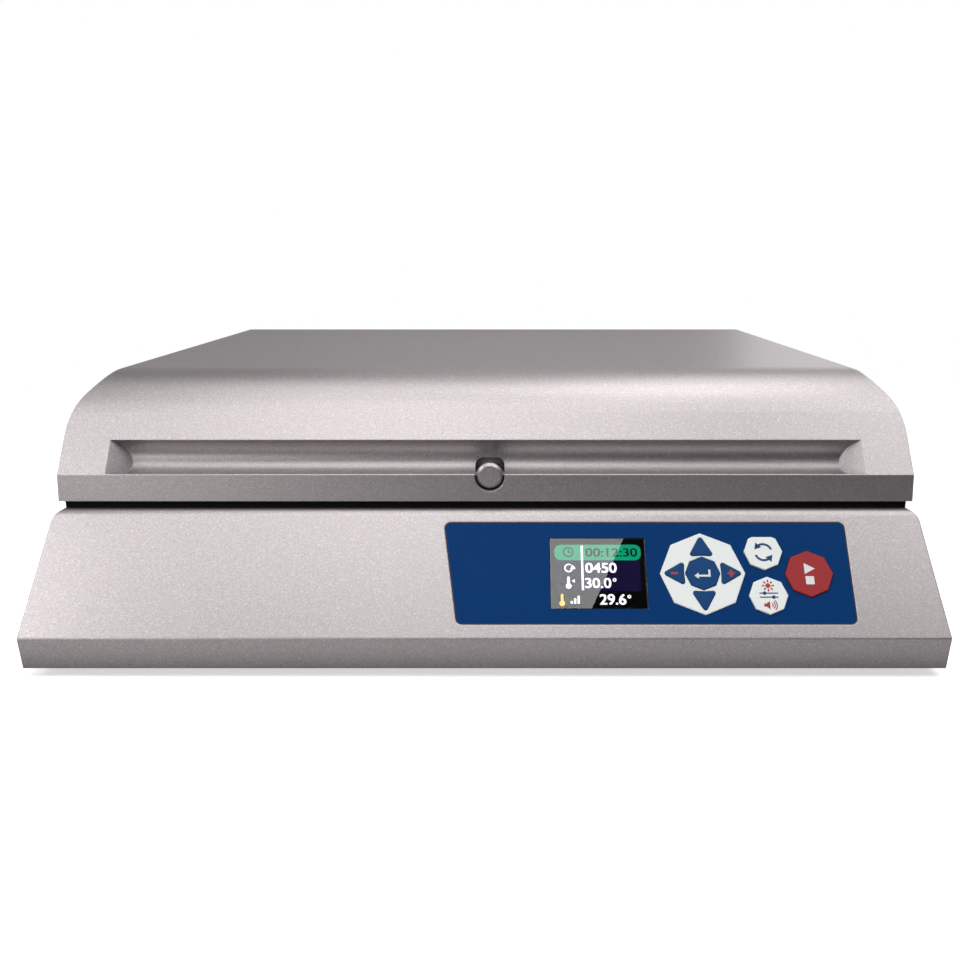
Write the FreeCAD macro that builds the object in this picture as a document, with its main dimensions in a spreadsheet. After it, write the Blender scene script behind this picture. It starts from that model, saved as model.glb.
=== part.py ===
import FreeCAD, Part
import math
import os
import Sketcher
from FreeCAD import Placement, Rotation, Vector

# Incubated benchtop shaker with a hinged lid.
# Lengths are in millimetres and angles in degrees.
# X runs to the right of the control panel, Y to the back and Z up.
# The origin is the bottom centre of the whole object.

doc = FreeCAD.newDocument("Shaker")
sheet = doc.addObject("Spreadsheet::Sheet", "Sizes")

given = {
    # base casing
    "base_width": 420,
    "base_depth": 362,
    "base_rise": 65,
    "foot_lift": 5,
    "knee_rise": 14.6,
    "undercut": 1,
    "side_lean": 6,
    "panel_lean": 36,
    "casing_wall": 3,
    "deck_round": 6,
    "knee_round": 1,
    "casing_back_round": 3,
    "plate_thickness": 2,
    "plate_gap": 0.6,
    "boss_radius": 4,
    "boss_side_inset": 18,
    "boss_front_inset": 41.5,
    "boss_back_inset": 10.5,
    "foot_radius": 11,
    "foot_neck_radius": 3,
    "foot_barb_radius": 4.2,
    "foot_barb_rise": 2,
    "foot_side_inset": 42,
    "foot_front_inset": 46,
    "foot_back_inset": 30,
    "foot_round": 1,
    # lid
    "lid_setback": 39,
    "lid_inset": 7.3,
    "lid_rise": 57.6,
    "lid_wall": 3,
    "strip_rise": 12.6,
    "strip_lean": 0.8,
    "brow_round": 43.5,
    "shoulder_rise": 40.4,
    "shoulder_lean": 40.5,
    "shoulder_round": 28,
    "shoulder_top_round": 4.5,
    "lid_back_round": 9,
    "gasket_rise": 3.4,
    "gasket_step": 1.7,
    "gasket_width": 9.8,
    "gasket_corner": 8,
    "gasket_outer_corner": 2,
    "liner_sheet": 1.5,
    "liner_flange": 2,
    "liner_rise": 41,
    "liner_side_gap": 15.5,
    "liner_front_gap": 31.5,
    "liner_back_gap": 11.5,
    "liner_corner": 10,
    "flange_gap": 0.3,
    "lid_boss_inset": 9,
    "lid_boss_radius": 3.2,
    "lid_boss_front": 39.5,
    "lid_boss_back": 19.5,
    "lid_boss_top": 10,
    "mat_thickness": 1.2,
    "mat_inset": 14,
    "lid_foam_thickness": 11.5,
    "lid_foam_inset": 10,
    "lid_foam_front": 31,
    # handle groove in the lid
    "groove_radius": 8.93,
    "groove_side_inset": 22.5,
    "groove_wall": 2.4,
    "groove_depth": 5.55,
    "groove_lift": 7.63,
    "groove_reach": 14,
    "groove_cut_half": 27.6,
    # catch
    "catch_shift": 2,
    "catch_drop": 0.5,
    "catch_radius": 6.15,
    "catch_hole_gap": 0.8,
    "catch_skin": 3.3,
    "catch_bevel": 1.2,
    "rim_bevel": 0.9,
    "rim_depth": 1.2,
    "catch_recess": 0.2,
    "catch_depth": 22,
    "catch_boss_wall": 2.4,
    "catch_cap_thickness": 2,
    "catch_travel": 2.5,
    "stem_radius": 2.2,
    "hook_width": 6,
    "hook_thickness": 2,
    "hook_setback": 17,
    "hook_tooth": 2,
    "hook_tooth_rise": 2.2,
    "hook_slot_gap": 1.5,
    "spring_radius": 2.9,
    "spring_wire": 0.4,
    "spring_turns": 5,
    "spring_gap": 0.25,
    "spring_seat": 14.5,
    "keeper_sheet": 1.2,
    "keeper_half": 14,
    "keeper_rim": 2.2,
    "keeper_gap": 0.3,
    "hook_drop": 0.85,
    "niche_half": 7,
    "niche_top": 6,
    "niche_round": 3.5,
    "niche_depth": 16.5,
    # chamber
    "chamber_side_inset": 45,
    "chamber_end_inset": 36.5,
    "tray_sheet": 1.5,
    "tray_depth": 20,
    "tray_flange": 9,
    "tray_corner": 12,
    "tray_gap": 0.5,
    "tray_screw_share": 0.6,
    "foam_thickness": 4,
    "foam_inset": 10,
    "probe_radius": 2,
    "probe_rise": 15,
    "probe_side_inset": 45,
    "probe_back_inset": 11,
    "probe_base_radius": 5,
    "probe_base_rise": 3,
    "probe_tip_share": 0.8,
    # platform and drive
    "orbit_radius": 1,
    "platform_side_gap": 23,
    "platform_end_gap": 27,
    "platform_thickness": 6,
    "platform_lift": 8,
    "platform_corner": 8,
    "bay_side_margin": 10,
    "bay_end_margin": 8,
    "bay_rib": 6,
    "bay_depth": 1.5,
    "bay_corner": 3,
    "clip_length": 18,
    "clip_width": 5,
    "clip_thickness": 0.6,
    "clip_rise": 5,
    "corner_side_inset": 24,
    "corner_end_inset": 22,
    "main_bearing_bore": 4,
    "main_bearing_radius": 11,
    "main_bearing_width": 7,
    "small_bearing_bore": 3,
    "small_bearing_radius": 9.5,
    "small_bearing_width": 6,
    "bearing_shield": 0.4,
    "bearing_ring_share": 0.28,
    "bearing_lip_share": 0.7,
    "bearing_wall": 3.5,
    "bearing_lift": 3,
    "fit_gap": 0.05,
    "turn_gap": 0.5,
    "neck_gap": 2,
    "main_neck_radius": 6,
    "small_neck_radius": 4.5,
    "crank_disc_radius": 8,
    "crank_disc_rise": 3,
    "drive_lift": 28,
    "drive_thickness": 4,
    "drive_side_margin": 32,
    "drive_front_margin": 24,
    "drive_back_margin": 34,
    "drive_corner": 8,
    "pillar_radius": 5,
    "pillar_inset": 8,
    "housing_drop": 18,
    "housing_radius": 15,
    "housing_flange_radius": 22,
    "housing_flange_rise": 4,
    "belt_pitch": 2,
    "crank_teeth": 72,
    "motor_teeth": 24,
    "belt_width": 5.6,
    "belt_thickness": 1.4,
    "pulley_lift": 1.8,
    "pulley_rim_rise": 8,
    "pulley_web": 2.5,
    "pulley_hub_radius": 8,
    "pulley_rim_share": 0.84,
    "pulley_flange": 1.2,
    "pulley_flange_rise": 1,
    "weight_rise": 4.5,
    "weight_angle": 150,
    "motor_spacing": 72,
    "motor_radius": 28,
    "motor_height": 20,
    "motor_shaft_radius": 2.5,
    "motor_boss_radius": 8,
    "motor_boss_rise": 2,
    # control panel
    "panel_inset": 210,
    "label_left_top": -19.4,
    "label_left_low": -12.6,
    "label_right": 168.6,
    "label_low": 6.7,
    "label_high": 55.7,
    "label_corner": 3,
    "label_thickness": 0.6,
    "screen_left": 30.2,
    "screen_right": 74.4,
    "screen_low": 14,
    "screen_high": 47.8,
    "screen_pane": 0.7,
    "screen_gap": 0.2,
    "module_border": 3,
    "module_depth": 4,
    "pad_centre": 100.3,
    "pad_level": 30.5,
    "pad_radius": 19.7,
    "pad_thickness": 0.5,
    "enter_radius": 8,
    "enter_flange_round": 4,
    "arrow_gap": 0.35,
    "arrow_height": 10.05,
    "arrow_half_angle": 30,
    "arrow_notch": 0.4,
    "arrow_round": 1,
    "cycles_centre": 129.1,
    "cycles_level": 41.1,
    "round_key_radius": 8.95,
    "cycles_flat": 7.1,
    "settings_centre": 129.6,
    "settings_level": 19.9,
    "start_centre": 149.2,
    "start_level": 30.3,
    "start_radius": 11.1,
    "key_gap": 0.2,
    "key_proud": 0.9,
    "key_bevel": 0.25,
    "key_flange": 1,
    "key_flange_rise": 0.8,
    "key_travel": 0.5,
    "key_stem_radius": 2,
    "key_depth": 5.2,
    "board_depth": 13,
    "board_thickness": 1.6,
    "board_left": 15,
    "board_right": 172,
    "board_low": 8,
    "board_high": 54,
    "switch_body": 6,
    "switch_rise": 4.2,
    "switch_pin_radius": 1.6,
    "post_radius": 3,
    "post_inset": 4,
    "glass_face": 0.2,
    # back wall
    "inlet_side_inset": 80,
    "inlet_level": 34,
    "inlet_width": 27,
    "inlet_height": 20,
    "inlet_depth": 24,
    "inlet_flange": 11,
    "inlet_flange_side": 2,
    "inlet_flange_thickness": 2,
    "inlet_wall": 1.5,
    "inlet_cavity": 17,
    "inlet_corner": 4,
    "blade_width": 2,
    "blade_height": 4,
    "blade_length": 14,
    "blade_spread": 7,
    "blade_lift": 2,
    "switch_spacing": 42,
    "switch_width": 13,
    "switch_height": 19,
    "switch_depth": 16,
    "switch_flange": 1.5,
    "rocker_gap": 0.4,
    "rocker_wall": 1.2,
    "rocker_tilt": 20,
    "rocker_sink": 1,
    "rocker_crest": 1,
    "rocker_well": 10.5,
    "vent_side_inset": 150,
    "vent_pitch": 8,
    "vent_width": 3,
    "vent_height": 20,
    "vent_lift": 24,
    "vent_count": 12,
    "plate_label_spacing": 28,
    "plate_label_width": 60,
    "plate_label_low": 22,
    "plate_label_high": 50,
    "plate_label_thickness": 0.3,
    # power board on the bottom plate
    "power_left": -108,
    "power_right": -34,
    "power_front": -58,
    "power_back": 62,
    "power_lift": 4,
    "power_part_rise": 10,
    # hinges
    "hinge_offset": 6,
    "barrel_radius": 5,
    "hinge_side": 110,
    "hinge_half": 26,
    "hinge_middle_half": 12,
    "hinge_gap": 0.4,
    "hinge_leaf": 2,
    "hinge_leaf_rise": 18,
    "hinge_pin_radius": 2.5,
    "hinge_pin_gap": 0.1,
    "hinge_notch": 0.8,
    # screws
    "screw_radius": 1.5,
    "screw_head_radius": 2.8,
    "screw_head_rise": 1.2,
    "screw_length": 6,
    "screw_slot_radius": 1,
    "screw_slot_depth": 0.7,
}


right_angle = 90
half_turn = 180
key_sides = 8
centroid_share = 1 / 3


class Size:
    # a number together with the sheet formula that gives it

    def __init__(self, number, text):
        self.number = float(number)
        self.text = text

    def join(self, sign, other, number):
        return Size(number, "(" + self.text + " " + sign + " " + other.text + ")")

    def __add__(self, other):
        other = as_size(other)
        return self.join("+", other, self.number + other.number)

    def __sub__(self, other):
        other = as_size(other)
        return self.join("-", other, self.number - other.number)

    def __mul__(self, other):
        other = as_size(other)
        return self.join("*", other, self.number * other.number)

    def __truediv__(self, other):
        other = as_size(other)
        return self.join("/", other, self.number / other.number)

    def __radd__(self, other):
        return as_size(other) + self

    def __rsub__(self, other):
        return as_size(other) - self

    def __rmul__(self, other):
        return as_size(other) * self

    def __rtruediv__(self, other):
        return as_size(other) / self

    def __neg__(self):
        return Size(-self.number, "(-1 * " + self.text + ")")


def as_size(item):
    if isinstance(item, Size):
        return item
    return Size(item, "(" + repr(float(item)) + ")")


def sine(angle):
    angle = as_size(angle)
    return Size(math.sin(math.radians(angle.number)), "sin(" + angle.text + " * 1deg)")


def cosine(angle):
    angle = as_size(angle)
    return Size(math.cos(math.radians(angle.number)), "cos(" + angle.text + " * 1deg)")


def tangent(angle):
    angle = as_size(angle)
    return Size(math.tan(math.radians(angle.number)), "tan(" + angle.text + " * 1deg)")


def root(item):
    return Size(math.sqrt(item.number), "sqrt(" + item.text + ")")


class Names:
    pass


g = Names()
for number, (name, value) in enumerate(given.items(), start=1):
    sheet.set("A" + str(number), name)
    sheet.set("B" + str(number), str(value))
    sheet.setAlias("B" + str(number), name)
    setattr(g, name, Size(value, "Sizes." + name))
doc.recompute()

# levels and lines shared by the sub-parts
hinge_reach = g.hinge_offset + g.barrel_radius
front = -(g.base_depth + hinge_reach) / 2
back = (g.base_depth - hinge_reach) / 2
half_width = g.base_width / 2
knee = g.foot_lift + g.knee_rise
deck = g.foot_lift + g.base_rise
lid_floor = deck + g.gasket_rise
lid_top = lid_floor + g.lid_rise
lip = lid_floor + g.strip_rise
lid_front = front + g.lid_setback
lip_front = lid_front + g.strip_lean
lid_half = half_width - g.lid_inset
middle = (lid_front + back) / 2
hinge_y = back + g.hinge_offset
plate_top = g.foot_lift + g.plate_thickness
tray_floor = deck - g.tray_depth
platform_low = tray_floor + g.platform_lift
platform_top = platform_low + g.platform_thickness
drive_top = g.drive_lift + g.drive_thickness
pulley_low = drive_top + g.pulley_lift
pulley_top = pulley_low + g.pulley_rim_rise
motor_y = middle + g.motor_spacing
catch_level = lip - g.catch_drop
hook_y = lid_front + g.hook_setback
arrow_base = g.enter_radius + g.arrow_gap
arrow_reach = arrow_base + g.arrow_height * centroid_share
chamber_width = g.base_width - 2 * g.chamber_side_inset
chamber_length = back - lid_front - 2 * g.chamber_end_inset
probe_side = chamber_width / 2 - g.probe_side_inset
platform_width = chamber_width - 2 * g.platform_side_gap
platform_length = chamber_length - 2 * g.platform_end_gap
bay_width = (platform_width - g.bay_rib) / 2 - g.bay_side_margin
bay_length = (platform_length - g.bay_rib) / 2 - g.bay_end_margin
corner_reach = platform_width / 2 - g.corner_side_inset
corner_span = platform_length / 2 - g.corner_end_inset
drive_side = corner_reach + g.drive_side_margin
drive_front = corner_span + g.drive_front_margin
drive_back = g.motor_spacing + g.drive_back_margin
groove_half = lid_half - g.groove_side_inset
inlet_x = -(half_width - g.inlet_side_inset)
switch_x = inlet_x + g.switch_spacing
plate_label_left = switch_x + g.plate_label_spacing
plate_label_right = plate_label_left + g.plate_label_width
vent_first = half_width - g.vent_side_inset
panel_zero = half_width - g.panel_inset
lean_sine = sine(g.panel_lean)
lean_cosine = cosine(g.panel_lean)
lean_tangent = tangent(g.panel_lean)

pieces = []


def tie(thing, name, size):
    thing.setExpression(name, as_size(size).text)


def keep(label, thing):
    thing.Label = label
    pieces.append(thing)
    return thing


def at(thing, x, y, z):
    tie(thing, "Placement.Base.x", x)
    tie(thing, "Placement.Base.y", y)
    tie(thing, "Placement.Base.z", z)
    return thing


def block(x, y, z):
    box = doc.addObject("Part::Box", "Block")
    tie(box, "Length", as_size(x[1]) - x[0])
    tie(box, "Width", as_size(y[1]) - y[0])
    tie(box, "Height", as_size(z[1]) - z[0])
    return at(box, x[0], y[0], z[0])


def rod(x, y, z, radius):
    # a round bar: one of x, y and z is a pair and gives its ends
    bar = doc.addObject("Part::Cylinder", "Rod")
    tie(bar, "Radius", radius)
    start = [x, y, z]
    turns = [Rotation(Vector(0, 1, 0), right_angle), Rotation(Vector(1, 0, 0), -right_angle), Rotation()]
    for number, span in enumerate((x, y, z)):
        if isinstance(span, tuple):
            bar.Placement = Placement(Vector(), turns[number])
            tie(bar, "Height", as_size(span[1]) - span[0])
            start[number] = span[0]
    return at(bar, start[0], start[1], start[2])


def lean(thing, u, v, w):
    # stand a thing on the sloping panel: u along it, v up it, w out of it
    turn = right_angle - g.panel_lean
    thing.Placement = Placement(Vector(), Rotation(Vector(1, 0, 0), turn.number))
    tie(thing, "Placement.Rotation.Angle", turn)
    y = front + v * lean_sine - w * lean_cosine
    z = knee + v * lean_cosine + w * lean_sine
    return at(thing, panel_zero + u, y, z)


def lean_block(u, v, w):
    box = block(u, v, w)
    return lean(box, u[0], as_size(v[0]), as_size(w[0]))


def lean_rod(u, v, w, radius):
    bar = doc.addObject("Part::Cylinder", "Rod")
    tie(bar, "Radius", radius)
    tie(bar, "Height", as_size(w[1]) - w[0])
    return lean(bar, u, as_size(v), as_size(w[0]))


def fuse(things):
    if len(things) == 1:
        return things[0]
    joined = doc.addObject("Part::MultiFuse", "Joined")
    joined.Shapes = things
    joined.Refine = True
    return joined


def cut(thing, tools):
    # tools are taken off one after the other
    left = doc.addObject("Part::Cut", "Left")
    left.Base = thing
    left.Tool = group(tools)
    left.Refine = True
    return left


def group(things):
    if len(things) == 1:
        return things[0]
    joined = doc.addObject("Part::MultiFuse", "Tools")
    joined.Shapes = things
    return joined


def shared(things):
    both = doc.addObject("Part::MultiCommon", "Shared")
    both.Shapes = things
    return both


def prism(plane, corners, depth, rounds=None, start=None):
    # a profile in one of the main planes, padded; rounds gives corner radii
    body = doc.addObject("PartDesign::Body", "Body")
    flat = [item for item in body.Origin.OriginFeatures if item.Role == plane][0]
    sketch = body.newObject("Sketcher::SketchObject", "Profile")
    sketch.AttachmentSupport = [(flat, "")]
    sketch.MapMode = "FlatFace"
    points = [Vector(as_size(a).number, as_size(b).number, 0) for a, b in corners]
    total = len(points)
    for number in range(total):
        sketch.addGeometry(Part.LineSegment(points[number], points[(number + 1) % total]), False)
    for number in range(total):
        after = (number + 1) % total
        sketch.addConstraint(Sketcher.Constraint("Coincident", number, 2, after, 1))
    for number, (a, b) in enumerate(corners):
        for kind, letter, size in (("DistanceX", "across", a), ("DistanceY", "up", b)):
            size = as_size(size)
            made = sketch.addConstraint(Sketcher.Constraint(kind, -1, 1, number, 1, size.number))
            label = letter + str(number)
            sketch.renameConstraint(made, label)
            sketch.setExpression("Constraints." + label, size.text)
    pad = body.newObject("PartDesign::Pad", "Pad")
    pad.Profile = sketch
    if start is None:
        pad.Midplane = True
    else:
        tie(sketch, "AttachmentOffset.Base.z", start)
    tie(pad, "Length", depth)
    body.Tip = pad
    last = pad
    for number, radius in (rounds or {}).items():
        doc.recompute()
        names = corner_edges(last.Shape, plane, points[number])
        soft = body.newObject("PartDesign::Fillet", "Round")
        soft.Base = (last, names)
        tie(soft, "Radius", radius)
        body.Tip = soft
        last = soft
    return body


def corner_edges(shape, plane, point):
    # names of the edges that stand on one corner of a profile
    found = []
    for number, edge in enumerate(shape.Edges, start=1):
        ends = [flat_point(plane, vertex.Point) for vertex in edge.Vertexes]
        if len(ends) == 2 and all(end.distanceToPoint(point) < small for end in ends):
            found.append("Edge" + str(number))
    return found


small = 1e-4


def flat_point(plane, point):
    if plane == "YZ_Plane":
        return Vector(point.y, point.z, 0)
    if plane == "XZ_Plane":
        return Vector(point.x, point.z, 0)
    return Vector(point.x, point.y, 0)


def slab(x, y, z, radius):
    # a flat plate with four rounded corners
    corners = [(x[0], y[0]), (x[1], y[0]), (x[1], y[1]), (x[0], y[1])]
    rounds = {number: radius for number in range(len(corners))}
    return prism("XY_Plane", corners, as_size(z[1]) - z[0], rounds, z[0])


def lean_plate(corners, w, radius, sharp=()):
    # a plate drawn in the slope of the panel, with round corners but for the sharp ones
    rounds = {number: radius for number in range(len(corners)) if number not in sharp}
    plate = prism("XY_Plane", corners, as_size(w[1]) - w[0], rounds, w[0])
    return lean(plate, as_size(0), as_size(0), as_size(0))


def many_sided(sides, u, v, w, radius):
    # a regular bar that stands out of the panel
    bar = doc.addObject("Part::Prism", "Sided")
    bar.Polygon = sides
    tie(bar, "Circumradius", radius)
    tie(bar, "Height", as_size(w[1]) - w[0])
    return lean(bar, u, as_size(v), as_size(w[0]))


def soften(thing, radius, wanted, kind="Part::Fillet"):
    # round or bevel the edges whose ends all pass the test
    doc.recompute()
    edges = []
    for number, edge in enumerate(thing.Shape.Edges, start=1):
        if edge.Length > small and all(wanted(vertex.Point) for vertex in edge.Vertexes):
            edges.append((number, as_size(radius).number, as_size(radius).number))
    soft = doc.addObject(kind, "Soft")
    soft.Base = thing
    soft.Edges = edges
    return soft


def outward(point):
    # height of a point above the slope of the panel
    return -(point.y - front.number) * lean_cosine.number + (point.z - knee.number) * lean_sine.number


def near(value, size):
    return abs(value - as_size(size).number) < small


def mirrored(size):
    return (-size, size)


def screws(places, head_from, head_side):
    # round-headed screws along Z: head_side is 1 for a head on top, -1 for one below
    made = []
    for x, y in places:
        head = (head_from, head_from + head_side * g.screw_head_rise)
        stem = (head_from - head_side * g.screw_length, head_from)
        top = head[1]
        if head_side < 0:
            head = (head[1], head[0])
            stem = (stem[1], stem[0])
        whole = fuse([rod(x, y, head, g.screw_head_radius), rod(x, y, stem, g.screw_radius)])
        slot = (top - g.screw_slot_depth, top)
        if head_side < 0:
            slot = (top, top + g.screw_slot_depth)
        made.append(cut(whole, [rod(x, y, slot, g.screw_slot_radius)]))
    return made


def screws_back(places, head_from):
    # screws along Y with the head towards the back
    made = []
    for x, z in places:
        head = rod(x, (head_from, head_from + g.screw_head_rise), z, g.screw_head_radius)
        stem = rod(x, (head_from - g.screw_length, head_from), z, g.screw_radius)
        top = head_from + g.screw_head_rise
        slot = rod(x, (top - g.screw_slot_depth, top), z, g.screw_slot_radius)
        made.append(cut(fuse([head, stem]), [slot]))
    return made


# places that several sub-parts share
boss_x = half_width - g.boss_side_inset
boss_rows = [front + g.boss_front_inset, middle, back - g.boss_back_inset]
boss_places = [(side * boss_x, row) for side in (-1, 1) for row in boss_rows]
foot_x = half_width - g.foot_side_inset
foot_rows = [front + g.foot_front_inset, back - g.foot_back_inset]
foot_places = [(side * foot_x, row) for side in (-1, 1) for row in foot_rows]
lid_boss_x = lid_half - g.lid_boss_inset
lid_boss_rows = [lid_front + g.lid_boss_front, middle, back - g.lid_boss_back]
lid_boss_places = [(side * lid_boss_x, row) for side in (-1, 1) for row in lid_boss_rows]
pillar_x = drive_side - g.pillar_inset
pillar_rows = [middle - drive_front + g.pillar_inset, middle + drive_back - g.pillar_inset]
pillar_places = [(side * pillar_x, row) for side in (-1, 1) for row in pillar_rows]
corner_places = [
    (side * corner_reach, middle + row * corner_span) for row in (-1, 1) for side in (-1, 1)
]
tray_half_x = chamber_width / 2 + g.tray_sheet
tray_half_y = chamber_length / 2 + g.tray_sheet
tray_screw_x = tray_half_x + g.tray_flange / 2
tray_screw_y = tray_half_y + g.tray_flange / 2
tray_screw_row = tray_half_y * g.tray_screw_share
tray_screw_column = tray_half_x * g.tray_screw_share
tray_screw_places = [
    (side * tray_screw_x, middle + row * tray_screw_row) for side in (-1, 1) for row in (-1, 1)
]
tray_screw_places += [
    (side * tray_screw_column, middle + row * tray_screw_y) for row in (1, -1) for side in (-1, 1)
]
post_places = [
    (u, v)
    for u in (g.board_left + g.post_inset, g.board_right - g.post_inset)
    for v in (g.board_low + g.post_inset, g.board_high - g.post_inset)
]
arrow_ways = ((0, 1), (0, -1), (-1, 0), (1, 0))
inlet_screw_x = g.inlet_width / 2 + g.inlet_flange / 2
hinge_places = [-g.hinge_side, g.hinge_side]
leaf_screw_x = g.hinge_half / 2


def base_form(inset, low, rounded):
    # the two crossed prisms whose shared volume is the shape of the base
    slope = g.base_rise - g.knee_rise - inset
    bend = knee - inset * (1 / lean_cosine - 1) / lean_tangent
    corners = [
        (front + g.undercut + inset, low),
        (front + inset, bend),
        (front + inset / lean_cosine + slope * lean_tangent, deck - inset),
        (back - inset, deck - inset),
        (back - inset, low),
    ]
    rounds = {1: g.knee_round, 2: g.deck_round, 3: g.casing_back_round} if rounded else {}
    along = prism("YZ_Plane", corners, g.base_width * 2, rounds)
    half = half_width - inset
    across = [
        (-(half - g.undercut), low),
        (-half, knee),
        (-(half - g.side_lean), deck - inset),
        (half - g.side_lean, deck - inset),
        (half, knee),
        (half - g.undercut, low),
    ]
    turned = {1: g.knee_round, 2: g.deck_round, 3: g.deck_round, 4: g.knee_round} if rounded else {}
    side = prism("XZ_Plane", across, g.base_width * 2, turned)
    return shared([along, side])


def label_corners(grow):
    return [
        (g.label_left_low - grow, g.label_low - grow),
        (g.label_right + grow, g.label_low - grow),
        (g.label_right + grow, g.label_high + grow),
        (g.label_left_top - grow, g.label_high + grow),
    ]


def arrow_plate(du, dv, grow, w, base):
    # a triangle with round corners and a notched base, which points away from the enter key
    tip = arrow_base + g.arrow_height + grow / sine(g.arrow_half_angle)
    half = (tip - base) * tangent(g.arrow_half_angle)
    corners = []
    for out, side in ((tip, as_size(0)), (base, half), (base + g.arrow_notch, as_size(0)), (base, -half)):
        corners.append((g.pad_centre + du * out - dv * side, g.pad_level + dv * out + du * side))
    return lean_plate(corners, w, g.arrow_round + grow, (2,))


def key_cutters(grow, w):
    # the outlines of the eight keys, made larger by a gap
    made = []
    for du, dv in arrow_ways:
        made.append(arrow_plate(du, dv, grow, w, arrow_base - grow))
    made.append(many_sided(key_sides, g.pad_centre, g.pad_level, w, g.enter_radius + grow))
    made.append(cycles_form(grow, w))
    made.append(many_sided(key_sides, g.settings_centre, g.settings_level, w, g.round_key_radius + grow))
    made.append(many_sided(key_sides, g.start_centre, g.start_level, w, g.start_radius + grow))
    return made


def cycles_form(grow, w):
    # an octagon whose top is cut off flat
    whole = many_sided(key_sides, g.cycles_centre, g.cycles_level, w, g.round_key_radius + grow)
    reach = g.round_key_radius + g.round_key_radius
    window = lean_block(
        (g.cycles_centre - reach, g.cycles_centre + reach),
        (g.cycles_level - reach, g.cycles_level + g.cycles_flat + grow),
        w,
    )
    return shared([whole, window])


def base_casing():
    outer = base_form(as_size(0), g.foot_lift, True)
    inner = base_form(g.casing_wall, as_size(0), False)
    shell = cut(outer, [inner])
    bosses = []
    for x, y in boss_places:
        bosses.append(rod(x, y, (plate_top, deck - g.casing_wall), g.boss_radius))
    deep = g.board_depth - g.board_thickness
    for u, v in post_places:
        bosses.append(lean_rod(u, v, (-deep, -g.casing_wall), g.post_radius))
    solid = fuse([shell] + bosses)
    tools = casing_holes()
    return keep("base_casing", cut(solid, tools))


def casing_holes():
    tools = []
    half_x = tray_half_x + g.tray_gap
    half_y = tray_half_y + g.tray_gap
    low = deck - g.casing_wall * 2
    tools.append(
        slab(mirrored(half_x), (middle - half_y, middle + half_y), (low, lid_floor), g.tray_corner)
    )
    deep = -g.casing_wall * 2
    label_w = (-g.label_thickness, g.label_thickness)
    tools.append(lean_plate(label_corners(g.key_gap), label_w, g.label_corner))
    tools.extend(key_cutters(g.key_gap, (deep, g.label_thickness)))
    tools.append(screen_hole((deep, g.label_thickness), g.screen_gap))
    tools.extend(rod(x, y, (as_size(0), plate_top + g.screw_length), g.screw_radius) for x, y in boss_places)
    tools.extend(rod(x, y, (low, lid_floor), g.screw_radius) for x, y in tray_screw_places)
    tools.append(hook_slot((low, lid_floor), as_size(0)))
    tools.extend(keeper_screw_holes((low, lid_floor)))
    tools.extend(back_wall_holes())
    return tools


def screen_hole(w, grow):
    u = (g.screen_left - grow, g.screen_right + grow)
    v = (g.screen_low - grow, g.screen_high + grow)
    return lean_block(u, v, w)


def hook_slot(z, shrink):
    # the opening in the deck that the hook of the catch reaches through
    half = g.hook_width / 2 + g.hook_slot_gap - shrink
    rear = hook_y + g.hook_thickness + g.catch_travel + g.hook_slot_gap - shrink
    fore = hook_y - g.hook_tooth - g.keeper_gap - g.keeper_rim + shrink * 2
    return block((g.catch_shift - half, g.catch_shift + half), (fore, rear), z)


def keeper_places():
    reach = g.keeper_half - g.screw_head_radius - g.hook_slot_gap / 2
    return [(g.catch_shift + side * reach, hook_y) for side in (-1, 1)]


def keeper_screw_holes(z):
    return [rod(x, y, z, g.screw_radius) for x, y in keeper_places()]


def back_wall_holes():
    deep = (back - g.casing_wall * 2, back + g.casing_wall)
    gap = g.fit_gap * 2
    x = g.inlet_width / 2 + gap
    z = g.inlet_height / 2 + gap
    tools = [block((inlet_x - x, inlet_x + x), deep, (g.inlet_level - z, g.inlet_level + z))]
    x = g.switch_width / 2 + gap
    z = g.switch_height / 2 + gap
    tools.append(block((switch_x - x, switch_x + x), deep, (g.inlet_level - z, g.inlet_level + z)))
    for number in range(int(g.vent_count.number)):
        left = vent_first + g.vent_pitch * number
        tools.append(block((left, left + g.vent_width), deep, (g.vent_lift, g.vent_lift + g.vent_height)))
    for side in (-1, 1):
        tools.append(rod(inlet_x + side * inlet_screw_x, deep, g.inlet_level, g.screw_radius))
    for x, z in hinge_screw_places(-1):
        tools.append(rod(x, deep, z, g.screw_radius))
    return tools


def hinge_screw_places(side):
    # side -1 gives the leaf on the base, 1 the leaf on the lid
    level = lid_floor + side * (g.barrel_radius + g.hinge_leaf_rise) / 2 + side * g.hinge_leaf
    return [(x + turn * leaf_screw_x, level) for x in hinge_places for turn in (-1, 1)]


def bottom_plate():
    gap = g.casing_wall + g.undercut + g.plate_gap
    x = mirrored(half_width - gap)
    plate = block(x, (front + gap, back - g.casing_wall - g.plate_gap), (g.foot_lift, plate_top))
    tools = [rod(x, y, (as_size(0), lip), g.screw_radius + g.fit_gap) for x, y in boss_places + pillar_places]
    under = (as_size(0), g.foot_lift + g.screw_head_rise)
    tools.extend(rod(x, y, under, g.screw_head_radius + g.plate_gap) for x, y in boss_places + pillar_places)
    tools.extend(rod(x, y, (as_size(0), lip), g.foot_neck_radius) for x, y in foot_places)
    return keep("bottom_plate", cut(plate, tools))


def rubber_feet():
    feet = []
    for x, y in foot_places:
        pad = rod(x, y, (as_size(0), g.foot_lift), g.foot_radius)
        pad = soften(pad, g.foot_round, lambda point: near(point.z, 0))
        neck = rod(x, y, (g.foot_lift, plate_top), g.foot_neck_radius)
        barb = rod(x, y, (plate_top, plate_top + g.foot_barb_rise), g.foot_barb_radius)
        feet.append(fuse([pad, neck, barb]))
    return keep("rubber_feet", fuse(feet))


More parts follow.
